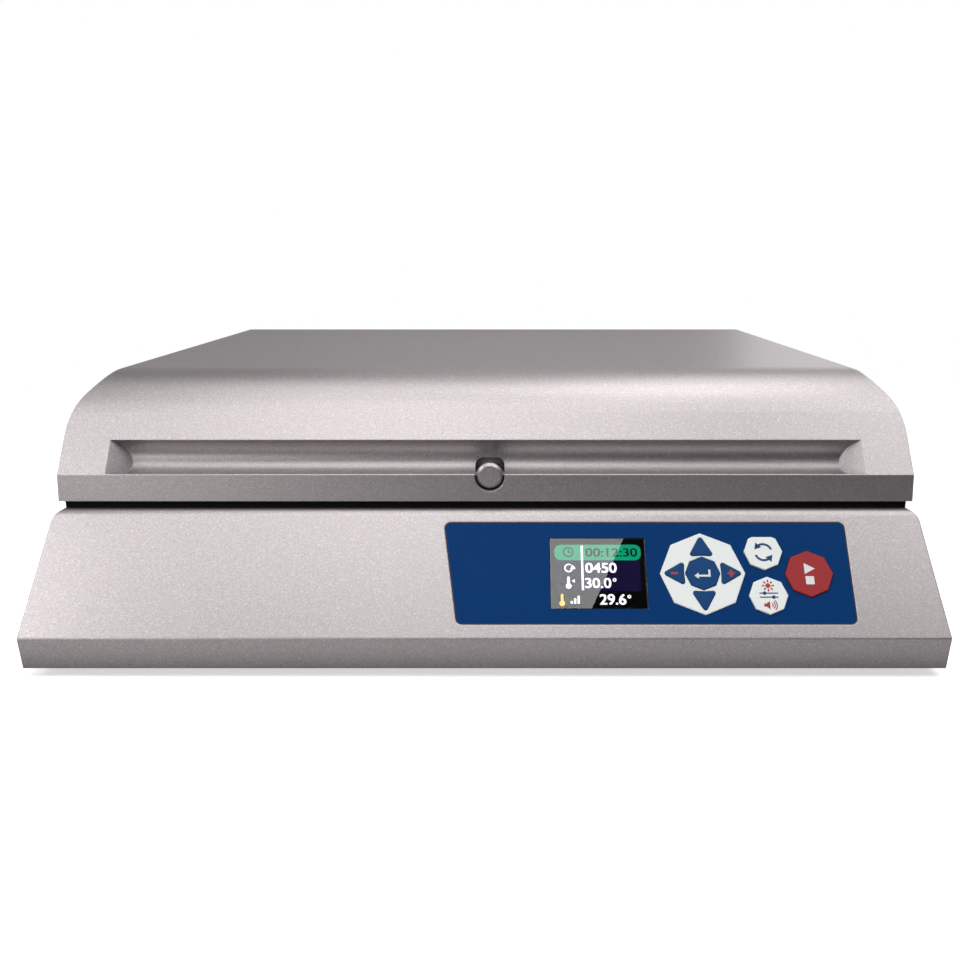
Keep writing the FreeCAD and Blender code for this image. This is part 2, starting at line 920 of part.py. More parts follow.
def base_screws():
    under = g.foot_lift + g.screw_head_rise
    made = screws(boss_places + pillar_places, under, -1)
    made.extend(screws(tray_screw_places, deck + g.tray_sheet, 1))
    made.extend(screws(keeper_places(), deck + g.keeper_sheet, 1))
    made.extend(screws(pillar_places, drive_top, 1))
    made.extend(screws_back(hinge_screw_places(-1), back + g.hinge_leaf))
    inlet = [(inlet_x + side * inlet_screw_x, g.inlet_level) for side in (-1, 1)]
    made.extend(screws_back(inlet, back + g.inlet_flange_thickness))
    return keep("base_screws", fuse(made))


def chamber_tray():
    rim = g.tray_flange
    flange = slab(
        mirrored(tray_half_x + rim),
        (middle - tray_half_y - rim, middle + tray_half_y + rim),
        (deck, deck + g.tray_sheet),
        g.tray_corner,
    )
    outer = slab(
        mirrored(tray_half_x),
        (middle - tray_half_y, middle + tray_half_y),
        (tray_floor - g.tray_sheet, deck + g.tray_sheet),
        g.tray_corner,
    )
    half_x = chamber_width / 2
    half_y = chamber_length / 2
    inner_corner = g.tray_corner - g.tray_sheet
    inner = slab(mirrored(half_x), (middle - half_y, middle + half_y), (tray_floor, lid_floor), inner_corner)
    tools = [inner] + neck_holes((tray_floor - g.tray_depth, lid_floor))
    tools.extend(rod(x, y, (tray_floor, lid_floor), g.screw_radius + g.fit_gap) for x, y in tray_screw_places)
    return keep("chamber_tray", cut(fuse([flange, outer]), tools))


def neck_holes(z):
    # openings for the crank necks
    holes = [rod(as_size(0), middle, z, g.main_neck_radius + g.neck_gap)]
    holes.extend(rod(x, y, z, g.small_neck_radius + g.neck_gap) for x, y in corner_places)
    return holes


def base_heater_mat():
    top = tray_floor - g.tray_sheet
    x = mirrored(chamber_width / 2 - g.mat_inset)
    half = chamber_length / 2 - g.mat_inset
    mat = slab(x, (middle - half, middle + half), (top - g.mat_thickness, top), g.tray_corner)
    return keep("base_heater_mat", cut(mat, neck_holes((g.foot_lift, deck))))


def base_insulation():
    top = tray_floor - g.tray_sheet - g.mat_thickness
    x = mirrored(chamber_width / 2 - g.foam_inset)
    half = chamber_length / 2 - g.foam_inset
    foam = block(x, (middle - half, middle + half), (top - g.foam_thickness, top))
    return keep("base_insulation", cut(foam, neck_holes((g.foot_lift, deck))))


def temperature_probe():
    y = middle + chamber_length / 2 - g.probe_back_inset
    stem = rod(probe_side, y, (tray_floor, tray_floor + g.probe_rise), g.probe_radius)
    tip = g.probe_radius * g.probe_tip_share
    stem = soften(stem, tip, lambda point: near(point.z, tray_floor + g.probe_rise))
    foot = rod(probe_side, y, (tray_floor, tray_floor + g.probe_base_rise), g.probe_base_radius)
    return keep("temperature_probe", fuse([stem, foot]))


def lid_gasket():
    z = (deck, lid_floor)
    step = g.gasket_step
    wide = lid_half - step
    outer = slab(mirrored(wide), (lid_front + step, back - step), z, g.gasket_outer_corner)
    step = step + g.gasket_width
    wide = lid_half - step
    inner = slab(mirrored(wide), (lid_front + step, back - step), (tray_floor, lip), g.gasket_corner)
    return keep("lid_gasket", cut(outer, [inner]))


def catch_keeper():
    x = (g.catch_shift - g.keeper_half, g.catch_shift + g.keeper_half)
    fore = hook_y - g.hook_tooth - g.keeper_gap - g.keeper_rim
    rear = hook_y + g.hook_thickness + g.catch_travel + g.hook_slot_gap + g.keeper_rim
    sheet_z = (deck, deck + g.keeper_sheet)
    plate = slab(x, (fore, rear), sheet_z, g.keeper_rim / 2)
    half = g.hook_width / 2 + g.hook_slot_gap
    window_x = (g.catch_shift - half, g.catch_shift + half)
    window = block(window_x, (fore + g.keeper_rim, rear - g.keeper_rim), (g.foot_lift, lip))
    holes = keeper_screw_holes((g.foot_lift, lip))
    return keep("catch_keeper", cut(plate, [window] + holes))


def panel_overlay():
    label_w = (-g.label_thickness, as_size(0))
    sheet_plate = lean_plate(label_corners(as_size(0)), label_w, g.label_corner - g.key_gap)
    through = (-g.casing_wall, g.casing_wall)
    tools = [screen_hole(through, g.screen_gap)]
    tools.append(many_sided(key_sides, g.pad_centre, g.pad_level, through, g.pad_radius + g.fit_gap))
    tools.extend(key_cutters(g.key_gap, through)[5:])
    return keep("panel_overlay", cut(sheet_plate, tools))


def nav_pad_face():
    pad_w = (-g.label_thickness, g.pad_thickness)
    face = many_sided(key_sides, g.pad_centre, g.pad_level, pad_w, g.pad_radius)
    face = soften(face, g.key_bevel, lambda point: near(outward(point), g.pad_thickness), "Part::Chamfer")
    through = (-g.casing_wall, g.casing_wall)
    return keep("nav_pad_face", cut(face, key_cutters(g.key_gap, through)[:5]))


def key_cap(label, u, v, face_form, flange_form):
    # each form draws an outline between two heights
    top = g.key_proud
    cap = face_form((-g.casing_wall - g.key_travel, top))
    cap = soften(cap, g.key_bevel, lambda point: near(outward(point), top), "Part::Chamfer")
    under = -g.casing_wall - g.key_gap
    flange = flange_form((under - g.key_flange_rise, under))
    stem = lean_rod(u, v, (-g.key_depth, under), g.key_stem_radius)
    return keep(label, fuse([cap, flange, stem]))


def arrow_key(label, du, dv):
    u = g.pad_centre + du * arrow_reach
    v = g.pad_level + dv * arrow_reach
    face_form = lambda w: arrow_plate(du, dv, as_size(0), w, arrow_base)
    flange_form = lambda w: arrow_plate(du, dv, g.key_flange, w, arrow_base)
    key_cap(label, u, v, face_form, flange_form)


def octagon_key(label, u, v, radius):
    face_form = lambda w: many_sided(key_sides, u, v, w, radius)
    flange_form = lambda w: many_sided(key_sides, u, v, w, radius + g.key_flange)
    key_cap(label, u, v, face_form, flange_form)


def enter_key():
    # its flange is a square that stays clear of the arrows and reaches out between them
    face_form = lambda w: many_sided(key_sides, g.pad_centre, g.pad_level, w, g.enter_radius)
    corners = [
        (g.pad_centre + du * g.enter_radius, g.pad_level + dv * g.enter_radius)
        for du, dv in ((-1, -1), (1, -1), (1, 1), (-1, 1))
    ]
    flange_form = lambda w: lean_plate(corners, w, g.enter_flange_round)
    key_cap("key_enter", g.pad_centre, g.pad_level, face_form, flange_form)


def keys():
    for label, (du, dv) in zip(("key_up", "key_down", "key_minus", "key_plus"), arrow_ways):
        arrow_key(label, du, dv)
    enter_key()
    octagon_key("key_settings", g.settings_centre, g.settings_level, g.round_key_radius)
    octagon_key("key_start_stop", g.start_centre, g.start_level, g.start_radius)
    cycles_flange = lambda w: cycles_form(g.key_flange, w)
    cycles_face = lambda w: cycles_form(as_size(0), w)
    key_cap("key_cycles", g.cycles_centre, g.cycles_level, cycles_face, cycles_flange)


def switch_places():
    places = [(g.pad_centre, g.pad_level)]
    for du, dv in arrow_ways:
        places.append((g.pad_centre + du * arrow_reach, g.pad_level + dv * arrow_reach))
    places.append((g.cycles_centre, g.cycles_level))
    places.append((g.settings_centre, g.settings_level))
    places.append((g.start_centre, g.start_level))
    return places


def key_switches():
    low = -g.board_depth + g.board_thickness
    top = -g.key_depth - g.key_travel - g.key_gap
    made = []
    for u, v in switch_places():
        half = g.switch_body / 2
        body = lean_block((u - half, u + half), (v - half, v + half), (low, low + g.switch_rise))
        pin = lean_rod(u, v, (low, top), g.switch_pin_radius)
        made.append(fuse([body, pin]))
    return keep("key_switches", fuse(made))


def control_board():
    w = (-g.board_depth, -g.board_depth + g.board_thickness)
    board = lean_block((g.board_left, g.board_right), (g.board_low, g.board_high), w)
    holes = [lean_rod(u, v, (-g.board_depth * 2, g.board_thickness), g.screw_radius) for u, v in post_places]
    return keep("control_board", cut(board, holes))


def display_window():
    pane = screen_hole((-g.screen_pane, as_size(0)), as_size(0))
    return keep("display_window", pane)


def display_module():
    face = -g.screen_pane - g.glass_face
    wall = -g.casing_wall - g.glass_face
    grow = g.module_border
    glass = screen_hole((-g.casing_wall * 2, face), as_size(0))
    back_body = screen_hole((wall - g.module_depth, wall), grow)
    return keep("display_module", fuse([glass, back_body]))


def power_inlet():
    x = g.inlet_width / 2
    z = g.inlet_height / 2
    body = block(
        (inlet_x - x, inlet_x + x),
        (back - g.inlet_depth, back + g.inlet_flange_thickness),
        (g.inlet_level - z, g.inlet_level + z),
    )
    wide = x + g.inlet_flange
    tall = z + g.inlet_flange_side
    corners = [
        (inlet_x - wide, g.inlet_level - tall),
        (inlet_x + wide, g.inlet_level - tall),
        (inlet_x + wide, g.inlet_level + tall),
        (inlet_x - wide, g.inlet_level + tall),
    ]
    rounds = {number: g.inlet_corner for number in range(len(corners))}
    flange = prism("XZ_Plane", corners, g.inlet_flange_thickness, rounds, -(back + g.inlet_flange_thickness))
    x = x - g.inlet_wall
    z = z - g.inlet_wall
    low = g.inlet_level - z
    high = g.inlet_level + z
    cavity = prism(
        "XZ_Plane",
        [
            (inlet_x - x, low),
            (inlet_x + x, low),
            (inlet_x + x, high - g.inlet_corner),
            (inlet_x + x - g.inlet_corner, high),
            (inlet_x - x + g.inlet_corner, high),
            (inlet_x - x, high - g.inlet_corner),
        ],
        g.inlet_cavity + g.inlet_flange_thickness,
        {},
        -(back + g.inlet_flange_thickness),
    )
    tools = [cavity] + blades(g.fit_gap)
    for side in (-1, 1):
        x = inlet_x + side * inlet_screw_x
        tools.append(rod(x, (back - g.inlet_depth, hinge_y), g.inlet_level, g.screw_radius + g.fit_gap))
    return keep("power_inlet", cut(fuse([body, flange]), tools))


def blades(grow):
    # the three contact blades of the inlet
    made = []
    rear = back - g.inlet_depth
    for du, dv in ((-1, -1), (1, -1), (0, 1)):
        x = inlet_x + du * g.blade_spread
        z = g.inlet_level + dv * g.blade_lift
        made.append(
            block(
                (x - g.blade_width / 2 - grow, x + g.blade_width / 2 + grow),
                (rear - g.casing_wall, rear + g.casing_wall + g.blade_length),
                (z - g.blade_height / 2 - grow, z + g.blade_height / 2 + grow),
            )
        )
    return made


def power_switch_housing():
    x = g.switch_width / 2
    z = g.switch_height / 2
    body = block(
        (switch_x - x, switch_x + x),
        (back - g.switch_depth, back + g.switch_flange),
        (g.inlet_level - z, g.inlet_level + z),
    )
    x = x + g.switch_flange
    z = z + g.switch_flange
    flange = block(
        (switch_x - x, switch_x + x),
        (back, back + g.switch_flange),
        (g.inlet_level - z, g.inlet_level + z),
    )
    flange = soften(flange, g.switch_flange / 2, lambda point: near(point.y, back + g.switch_flange))
    x = g.switch_width / 2 - g.rocker_wall
    z = g.switch_height / 2 - g.rocker_wall
    well = block(
        (switch_x - x, switch_x + x),
        (back - g.rocker_well, hinge_y),
        (g.inlet_level - z, g.inlet_level + z),
    )
    return keep("power_switch_housing", cut(fuse([body, flange]), [well]))


def power_rocker():
    # a round bar with a shallow valley in front, which tilts about its own axis in the well
    radius = g.switch_height / 2 - g.rocker_wall - g.rocker_gap
    wide = g.switch_width / 2 - g.rocker_wall - g.rocker_gap
    pivot = back - g.rocker_sink
    x = (switch_x - wide, switch_x + wide)
    bar = rod(x, pivot, g.inlet_level, radius)
    valley = pivot + g.rocker_crest
    corners = [
        (pivot - radius, g.inlet_level - radius),
        (valley, g.inlet_level - radius),
        (valley, g.inlet_level),
        (valley + radius * tangent(g.rocker_tilt), g.inlet_level + radius),
        (pivot - radius, g.inlet_level + radius),
    ]
    wedge = prism("YZ_Plane", corners, g.switch_width)
    at(wedge, switch_x, as_size(0), as_size(0))
    return keep("power_rocker", shared([bar, wedge]))


def rating_plate():
    plate = block(
        (plate_label_left, plate_label_right),
        (back, back + g.plate_label_thickness),
        (g.plate_label_low, g.plate_label_high),
    )
    return keep("rating_plate", plate)


# left edge, front edge, width and depth of each part as shares of the board, and its share of the rise
power_part_shares = (
    (0.10, 0.08, 0.38, 0.26, 1.0),
    (0.62, 0.10, 0.26, 0.16, 0.7),
    (0.12, 0.42, 0.30, 0.14, 0.6),
    (0.55, 0.36, 0.36, 0.30, 0.9),
    (0.14, 0.66, 0.24, 0.20, 0.8),
    (0.52, 0.74, 0.36, 0.12, 0.5),
)


def power_board():
    low = plate_top + g.power_lift
    top = low + g.board_thickness
    x = (g.power_left, g.power_right)
    y = (g.power_front, g.power_back)
    made = [block(x, y, (low, top))]
    for u in (g.power_left + g.post_inset, g.power_right - g.post_inset):
        for v in (g.power_front + g.post_inset, g.power_back - g.post_inset):
            made.append(rod(u, v, (plate_top, low), g.post_radius))
    width = g.power_right - g.power_left
    length = g.power_back - g.power_front
    for across, along, wide, deep, rise in power_part_shares:
        made.append(
            block(
                (g.power_left + width * across, g.power_left + width * (across + wide)),
                (g.power_front + length * along, g.power_front + length * (along + deep)),
                (top, top + g.power_part_rise * rise),
            )
        )
    return keep("power_board", fuse(made))


def drive_plate():
    x = mirrored(drive_side)
    plate = slab(x, (middle - drive_front, middle + drive_back), (g.drive_lift, drive_top), g.drive_corner)
    made = [plate]
    tools = []
    bearing_low = drive_top - g.small_bearing_width
    for x, y in corner_places:
        wall = g.small_bearing_radius + g.bearing_wall
        made.append(rod(x, y, (bearing_low - g.bearing_lift, g.drive_lift), wall))
        tools.append(rod(x, y, (bearing_low, deck), g.small_bearing_radius + g.fit_gap))
        tools.append(rod(x, y, (as_size(0), deck), g.small_bearing_radius * g.bearing_lip_share))
    tools.append(rod(as_size(0), middle, (as_size(0), deck), g.main_bearing_radius + g.fit_gap))
    tools.append(rod(as_size(0), motor_y, (as_size(0), deck), g.motor_boss_radius + g.fit_gap))
    tools.extend(rod(x, y, (as_size(0), deck), g.screw_radius) for x, y in pillar_places)
    return keep("drive_plate", cut(fuse(made), tools))


def drive_pillars():
    made = []
    for x, y in pillar_places:
        post = rod(x, y, (plate_top, g.drive_lift), g.pillar_radius)
        made.append(cut(post, [rod(x, y, (as_size(0), deck), g.screw_radius)]))
    return keep("drive_pillars", fuse(made))


def bearing_housing():
    low = g.drive_lift - g.housing_drop
    cup = rod(as_size(0), middle, (low, g.drive_lift), g.housing_radius)
    rim = rod(
        as_size(0), middle, (g.drive_lift - g.housing_flange_rise, g.drive_lift), g.housing_flange_radius
    )
    bore = rod(as_size(0), middle, (low + g.pulley_web, deck), g.main_bearing_radius + g.fit_gap)
    under = rod(as_size(0), middle, (as_size(0), deck), g.main_bearing_radius * g.bearing_lip_share)
    return keep("bearing_housing", cut(fuse([cup, rim]), [bore, under]))


def bearing(x, y, low, bore, radius, width):
    # a ring with the shields set back between inner and outer race
    ring = rod(x, y, (low, low + width), radius)
    span = radius - bore
    inner_race = bore + span * g.bearing_ring_share
    outer_race = radius - span * g.bearing_ring_share
    tools = [rod(x, y, (as_size(0), lid_top), bore + g.fit_gap)]
    for z in ((low, low + g.bearing_shield), (low + width - g.bearing_shield, low + width)):
        tools.append(cut(rod(x, y, z, outer_race), [rod(x, y, (as_size(0), lid_top), inner_race)]))
    return cut(ring, tools)


def base_bearings():
    made = []
    low = g.drive_lift - g.housing_drop + g.pulley_web
    for z in (low, drive_top - g.main_bearing_width):
        made.append(
            bearing(as_size(0), middle, z, g.main_bearing_bore, g.main_bearing_radius, g.main_bearing_width)
        )
    low = drive_top - g.small_bearing_width
    for x, y in corner_places:
        made.append(bearing(x, y, low, g.small_bearing_bore, g.small_bearing_radius, g.small_bearing_width))
    return keep("base_bearings", fuse(made))


def motor_body():
    low = g.drive_lift - g.motor_height
    can = rod(as_size(0), motor_y, (low, g.drive_lift), g.motor_radius)
    can = soften(can, g.foot_round, lambda point: near(point.z, low))
    boss = rod(as_size(0), motor_y, (g.drive_lift, g.drive_lift + g.motor_boss_rise), g.motor_boss_radius)
    bore = rod(as_size(0), motor_y, (low + g.foot_lift, deck), g.motor_shaft_radius + g.fit_gap)
    return keep("motor_body", cut(fuse([can, boss]), [bore]))


def motor_shaft():
    low = g.drive_lift - g.motor_height + g.foot_lift + g.turn_gap
    shaft = rod(as_size(0), motor_y, (low, pulley_top), g.motor_shaft_radius)
    return keep("motor_shaft", shaft)


def pulley_radius(teeth):
    return teeth * g.belt_pitch / (2 * math.pi)


def motor_pulley():
    radius = pulley_radius(g.motor_teeth)
    low = drive_top + g.turn_gap
    wheel = pulley_form(as_size(0), motor_y, radius, low)
    bore = rod(as_size(0), motor_y, (as_size(0), lid_top), g.motor_shaft_radius + g.fit_gap)
    return keep("motor_pulley", cut(wheel, [bore]))


def pulley_form(x, y, radius, low):
    made = [rod(x, y, (low, pulley_top), radius)]
    rim = radius + g.pulley_flange
    flange_z = (pulley_low, pulley_low + g.pulley_flange_rise)
    made.append(rod(x, y, flange_z, rim))
    flange_z = (pulley_top - g.pulley_flange_rise, pulley_top)
    made.append(rod(x, y, flange_z, rim))
    return fuse(made)


def drive_belt():
    spare = g.pulley_rim_rise - g.pulley_flange_rise * 2 - g.belt_width
    low = pulley_low + g.pulley_flange_rise + spare / 2
    z = (low, low + g.belt_width)
    big = pulley_radius(g.crank_teeth) + g.fit_gap
    tiny = pulley_radius(g.motor_teeth) + g.fit_gap
    outer = belt_form(big + g.belt_thickness, tiny + g.belt_thickness, z)
    inner = belt_form(big, tiny, (as_size(0), lid_top))
    return keep("drive_belt", cut(outer, [inner]))


def belt_form(big, tiny, z):
    slant = (big - tiny) / g.motor_spacing
    level = root(1 - slant * slant)
    corners = [
        (big * level, middle + big * slant),
        (tiny * level, motor_y + tiny * slant),
        (-(tiny * level), motor_y + tiny * slant),
        (-(big * level), middle + big * slant),
    ]
    band = prism("XY_Plane", corners, as_size(z[1]) - z[0], {}, z[0])
    return fuse([rod(as_size(0), middle, z, big), rod(as_size(0), motor_y, z, tiny), band])


def crank_shaft():
    low = g.drive_lift - g.housing_drop + g.pulley_web + g.turn_gap
    neck_top = platform_low - g.bearing_lift - g.turn_gap
    seat = bearing_seat(g.main_bearing_width)
    made = [
        rod(as_size(0), middle, (low, pulley_top), g.main_bearing_bore),
        rod(as_size(0), middle, (pulley_low + g.pulley_web, neck_top), g.main_neck_radius),
        rod(g.orbit_radius, middle, (neck_top, seat[1]), g.main_bearing_bore),
    ]
    return keep("crank_shaft", fuse(made))


def bearing_seat(width):
    # the heights between which a platform bearing sits
    low = platform_low - g.bearing_lift
    return (low, low + width)


def crank_pulley():
    radius = pulley_radius(g.crank_teeth)
    wheel = pulley_form(as_size(0), middle, radius, pulley_low)
    cup = rod(as_size(0), middle, (pulley_low + g.pulley_web, lid_top), radius * g.pulley_rim_share)
    hub = rod(as_size(0), middle, (pulley_low + g.pulley_web, lid_top), g.pulley_hub_radius)
    bore_low = rod(as_size(0), middle, (as_size(0), lid_top), g.main_bearing_bore + g.fit_gap)
    bore_high = rod(
        as_size(0), middle, (pulley_low + g.pulley_web - g.fit_gap, lid_top), g.main_neck_radius + g.fit_gap
    )
    return keep("crank_pulley", cut(wheel, [cut(cup, [hub]), bore_low, bore_high]))


def counterweight():
    radius = pulley_radius(g.crank_teeth) * g.pulley_rim_share - g.turn_gap
    low = pulley_low + g.pulley_web
    block_part = doc.addObject("Part::Cylinder", "Sector")
    tie(block_part, "Radius", radius)
    tie(block_part, "Height", g.weight_rise)
    tie(block_part, "Angle", g.weight_angle)
    start = half_turn - g.weight_angle / 2
    block_part.Placement = Placement(Vector(), Rotation(Vector(0, 0, 1), start.number))
    tie(block_part, "Placement.Rotation.Angle", start)
    at(block_part, as_size(0), middle, low)
    hub = rod(as_size(0), middle, (as_size(0), lid_top), g.pulley_hub_radius + g.turn_gap)
    return keep("counterweight", cut(block_part, [hub]))


def support_cranks():
    for number, (x, y) in enumerate(corner_places, start=1):
        low = drive_top - g.small_bearing_width - g.turn_gap
        disc_low = drive_top + g.turn_gap
        neck_top = platform_low - g.bearing_lift - g.turn_gap
        seat = bearing_seat(g.small_bearing_width)
        made = [
            rod(x, y, (low, disc_low), g.small_bearing_bore),
            rod(x, y, (disc_low, disc_low + g.crank_disc_rise), g.crank_disc_radius),
            rod(x, y, (disc_low, neck_top), g.small_neck_radius),
            rod(x + g.orbit_radius, y, (neck_top, seat[1]), g.small_bearing_bore),
        ]
        keep("support_crank_" + str(number), fuse(made))


def bay_centres():
    x = (bay_width + g.bay_rib) / 2
    y = (bay_length + g.bay_rib) / 2
    return [(g.orbit_radius + side * x, middle + row * y) for row in (-1, 1) for side in (-1, 1)]


def platform():
    x = (g.orbit_radius - platform_width / 2, g.orbit_radius + platform_width / 2)
    y = (middle - platform_length / 2, middle + platform_length / 2)
    plate = slab(x, y, (platform_low, platform_top), g.platform_corner)
    plate = soften(plate, g.turn_gap, lambda point: near(point.z, platform_top), "Part::Chamfer")
    made = [plate]
    tools = []
    for x, y in bay_centres():
        half_x = bay_width / 2
        half_y = bay_length / 2
        z = (platform_top - g.bay_depth, lid_top)
        tools.append(slab((x - half_x, x + half_x), (y - half_y, y + half_y), z, g.bay_corner))
    low = platform_low - g.bearing_lift
    made.append(rod(g.orbit_radius, middle, (low, platform_low), g.main_bearing_radius + g.bearing_wall))
    top = bearing_seat(g.main_bearing_width)[1] + g.fit_gap
    tools.append(rod(g.orbit_radius, middle, (low - g.turn_gap, top), g.main_bearing_radius + g.fit_gap))
    top = bearing_seat(g.small_bearing_width)[1] + g.fit_gap
    for x, y in corner_places:
        shifted = x + g.orbit_radius
        made.append(rod(shifted, y, (low, platform_low), g.small_bearing_radius + g.bearing_wall))
        tools.append(rod(shifted, y, (low - g.turn_gap, top), g.small_bearing_radius + g.fit_gap))
    return keep("platform", cut(fuse(made), tools))


def platform_bearings():
    low = bearing_seat(g.main_bearing_width)[0]
    made = [
        bearing(
            g.orbit_radius, middle, low, g.main_bearing_bore, g.main_bearing_radius, g.main_bearing_width
        )
    ]
    for x, y in corner_places:
        made.append(
            bearing(
                x + g.orbit_radius,
                y,
                low,
                g.small_bearing_bore,
                g.small_bearing_radius,
                g.small_bearing_width,
            )
        )
    return keep("platform_bearings", fuse(made))


def plate_clips():
    # one leaf spring on the outer long side of each plate bay
    made = []
    for x, y in bay_centres():
        outside = 1 if y.number > middle.number else -1
        edge = y + outside * (bay_length / 2)
        ends = (edge, edge + outside * g.clip_width)
        rise = (edge, edge + outside * g.clip_thickness)
        if outside < 0:
            ends = (ends[1], ends[0])
            rise = (rise[1], rise[0])
        span = (x - g.clip_length / 2, x + g.clip_length / 2)
        foot = block(span, ends, (platform_top, platform_top + g.clip_thickness))
        leaf = block(span, rise, (platform_top, platform_top + g.clip_rise))
        made.append(fuse([foot, leaf]))
    return keep("plate_clips", fuse(made))


def lid_form(inset, low, high):
    # the two crossed prisms whose shared volume is the shape of the lid
    slope = lid_top - lip - inset
    bend = lip - inset * (1 / lean_cosine - 1) / lean_tangent
    corners = [
        (lid_front + inset, low),
        (lip_front + inset, bend),
        (lip_front + inset / lean_cosine + slope * lean_tangent, high - inset),
        (back - inset, high - inset),
        (back - inset, low),
    ]
    rounds = {2: g.brow_round - inset, 3: g.lid_back_round - inset}
    along = prism("YZ_Plane", corners, g.base_width * 2, rounds)
    half = lid_half - inset
    lean_in = tangent(g.shoulder_lean)
    thick = inset / cosine(g.shoulder_lean)
    turn_level = lid_floor + g.shoulder_rise - (thick - inset) / lean_in
    crown = lid_half - thick - (lid_top - inset - lid_floor - g.shoulder_rise) * lean_in
    across = [
        (-half, low),
        (-half, turn_level),
        (-crown, high - inset),
        (crown, high - inset),
        (half, turn_level),
        (half, low),
    ]
    bend = g.shoulder_round - inset
    crest = g.shoulder_top_round - inset
    side = prism("XZ_Plane", across, g.base_width * 2, {1: bend, 2: crest, 3: crest, 4: bend})
    return shared([along, side])


def groove_ends(grow):
    # the trapezium that gives the handle groove its slanting ends
    reach = g.groove_reach + grow
    half = groove_half + grow
    corners = [(-half - reach, -reach), (half + reach, -reach), (half - reach, reach), (-half + reach, reach)]
    ends = prism("XY_Plane", corners, g.groove_cut_half * 2, {}, -g.groove_cut_half)
    ends.Placement = Placement(Vector(), Rotation(Vector(1, 0, 0), -g.panel_lean.number))
    tie(ends, "Placement.Rotation.Angle", -g.panel_lean)
    return at(ends, as_size(0), lip_front + g.groove_depth, lip + g.groove_lift)


def groove_form(grow):
    half = groove_half + g.groove_reach
    y = lip_front + g.groove_depth
    bar = rod(mirrored(half), y, lip + g.groove_lift, g.groove_radius + grow)
    return shared([bar, groove_ends(grow)])


def lid_cover():
    outer = lid_form(as_size(0), lid_floor, lid_top)
    cavity = lid_form(g.lid_wall, deck, lid_top)
    bulge = groove_form(g.groove_wall)
    socket = rod(
        g.catch_shift,
        (lid_front + g.catch_recess, lid_front + g.catch_depth),
        catch_level,
        g.catch_radius + g.catch_hole_gap + g.catch_boss_wall,
    )
    hollow = cut(cavity, [bulge, socket])
    bosses = []
    for x, y in lid_boss_places:
        z = (lid_floor + g.liner_flange, lid_top - g.lid_boss_top)
        bosses.append(rod(x, y, z, g.lid_boss_radius))
    solid = fuse([cut(outer, [hollow]), shared([fuse(bosses), outer])])
    tools = [groove_form(as_size(0))] + catch_holes()
    for x, y in lid_boss_places:
        z = (lid_floor, lid_floor + g.liner_flange + g.screw_length)
        tools.append(rod(x, y, z, g.screw_radius))
    for x, z in hinge_screw_places(1):
        tools.append(rod(x, (back - g.lid_wall * 2, hinge_y), z, g.screw_radius))
    return keep("lid_cover", cut(solid, tools))


def catch_holes():
    # the round hole of the button with its bevelled rim, the niche above it, the spring's bore and
    # the hook's slot
    room = g.catch_recess + g.catch_skin + g.catch_travel + g.turn_gap
    y = (lid_front - g.catch_skin, lid_front + room)
    hole = rod(g.catch_shift, y, catch_level, g.catch_radius + g.catch_hole_gap)
    rim = doc.addObject("Part::Cone", "Rim")
    tie(rim, "Radius1", g.catch_radius + g.catch_hole_gap + g.rim_bevel)
    tie(rim, "Radius2", g.catch_radius + g.catch_hole_gap)
    tie(rim, "Height", g.rim_depth)
    rim.Placement = Placement(Vector(), Rotation(Vector(1, 0, 0), -right_angle))
    at(rim, g.catch_shift, lid_front, catch_level)
    y = (lid_front, lid_front + g.spring_seat)
    bore = rod(g.catch_shift, y, catch_level, g.spring_radius + g.spring_wire + g.spring_gap)
    guide = rod(g.catch_shift, (lid_front, hook_y), catch_level, g.stem_radius + g.spring_gap)
    side = g.niche_half
    top = catch_level + g.niche_top
    niche = prism(
        "XZ_Plane",
        [
            (g.catch_shift - side, catch_level),
            (g.catch_shift + side, catch_level),
            (g.catch_shift + side, top),
            (g.catch_shift - side, top),
        ],
        g.niche_depth + g.catch_skin,
        {2: g.niche_round, 3: g.niche_round},
        -(lid_front + g.niche_depth),
    )
    half = g.hook_width / 2 + g.hook_slot_gap
    slot = block(
        (g.catch_shift - half, g.catch_shift + half),
        (hook_y - g.hook_slot_gap, hook_y + g.hook_thickness + g.catch_travel + g.hook_slot_gap),
        (deck, catch_level + g.stem_radius + g.spring_wire),
    )
    return [hole, rim, bore, guide, niche, slot]


def catch_button():
    face = lid_front + g.catch_recess
    disc = rod(g.catch_shift, (face, face + g.catch_skin), catch_level, g.catch_radius)
    disc = soften(disc, g.catch_bevel, lambda point: near(point.y, face), "Part::Chamfer")
    stem_end = hook_y + g.hook_thickness
    stem = rod(g.catch_shift, (face, stem_end), catch_level, g.stem_radius)
    half = g.hook_width / 2
    x = (g.catch_shift - half, g.catch_shift + half)
    low = deck - g.hook_drop - g.hook_tooth_rise
    arm = block(x, (hook_y, stem_end), (low, catch_level + g.stem_radius))
    tooth = block(x, (hook_y - g.hook_tooth, hook_y), (low, low + g.hook_tooth_rise))
    return keep("catch_button", fuse([disc, stem, arm, tooth]))


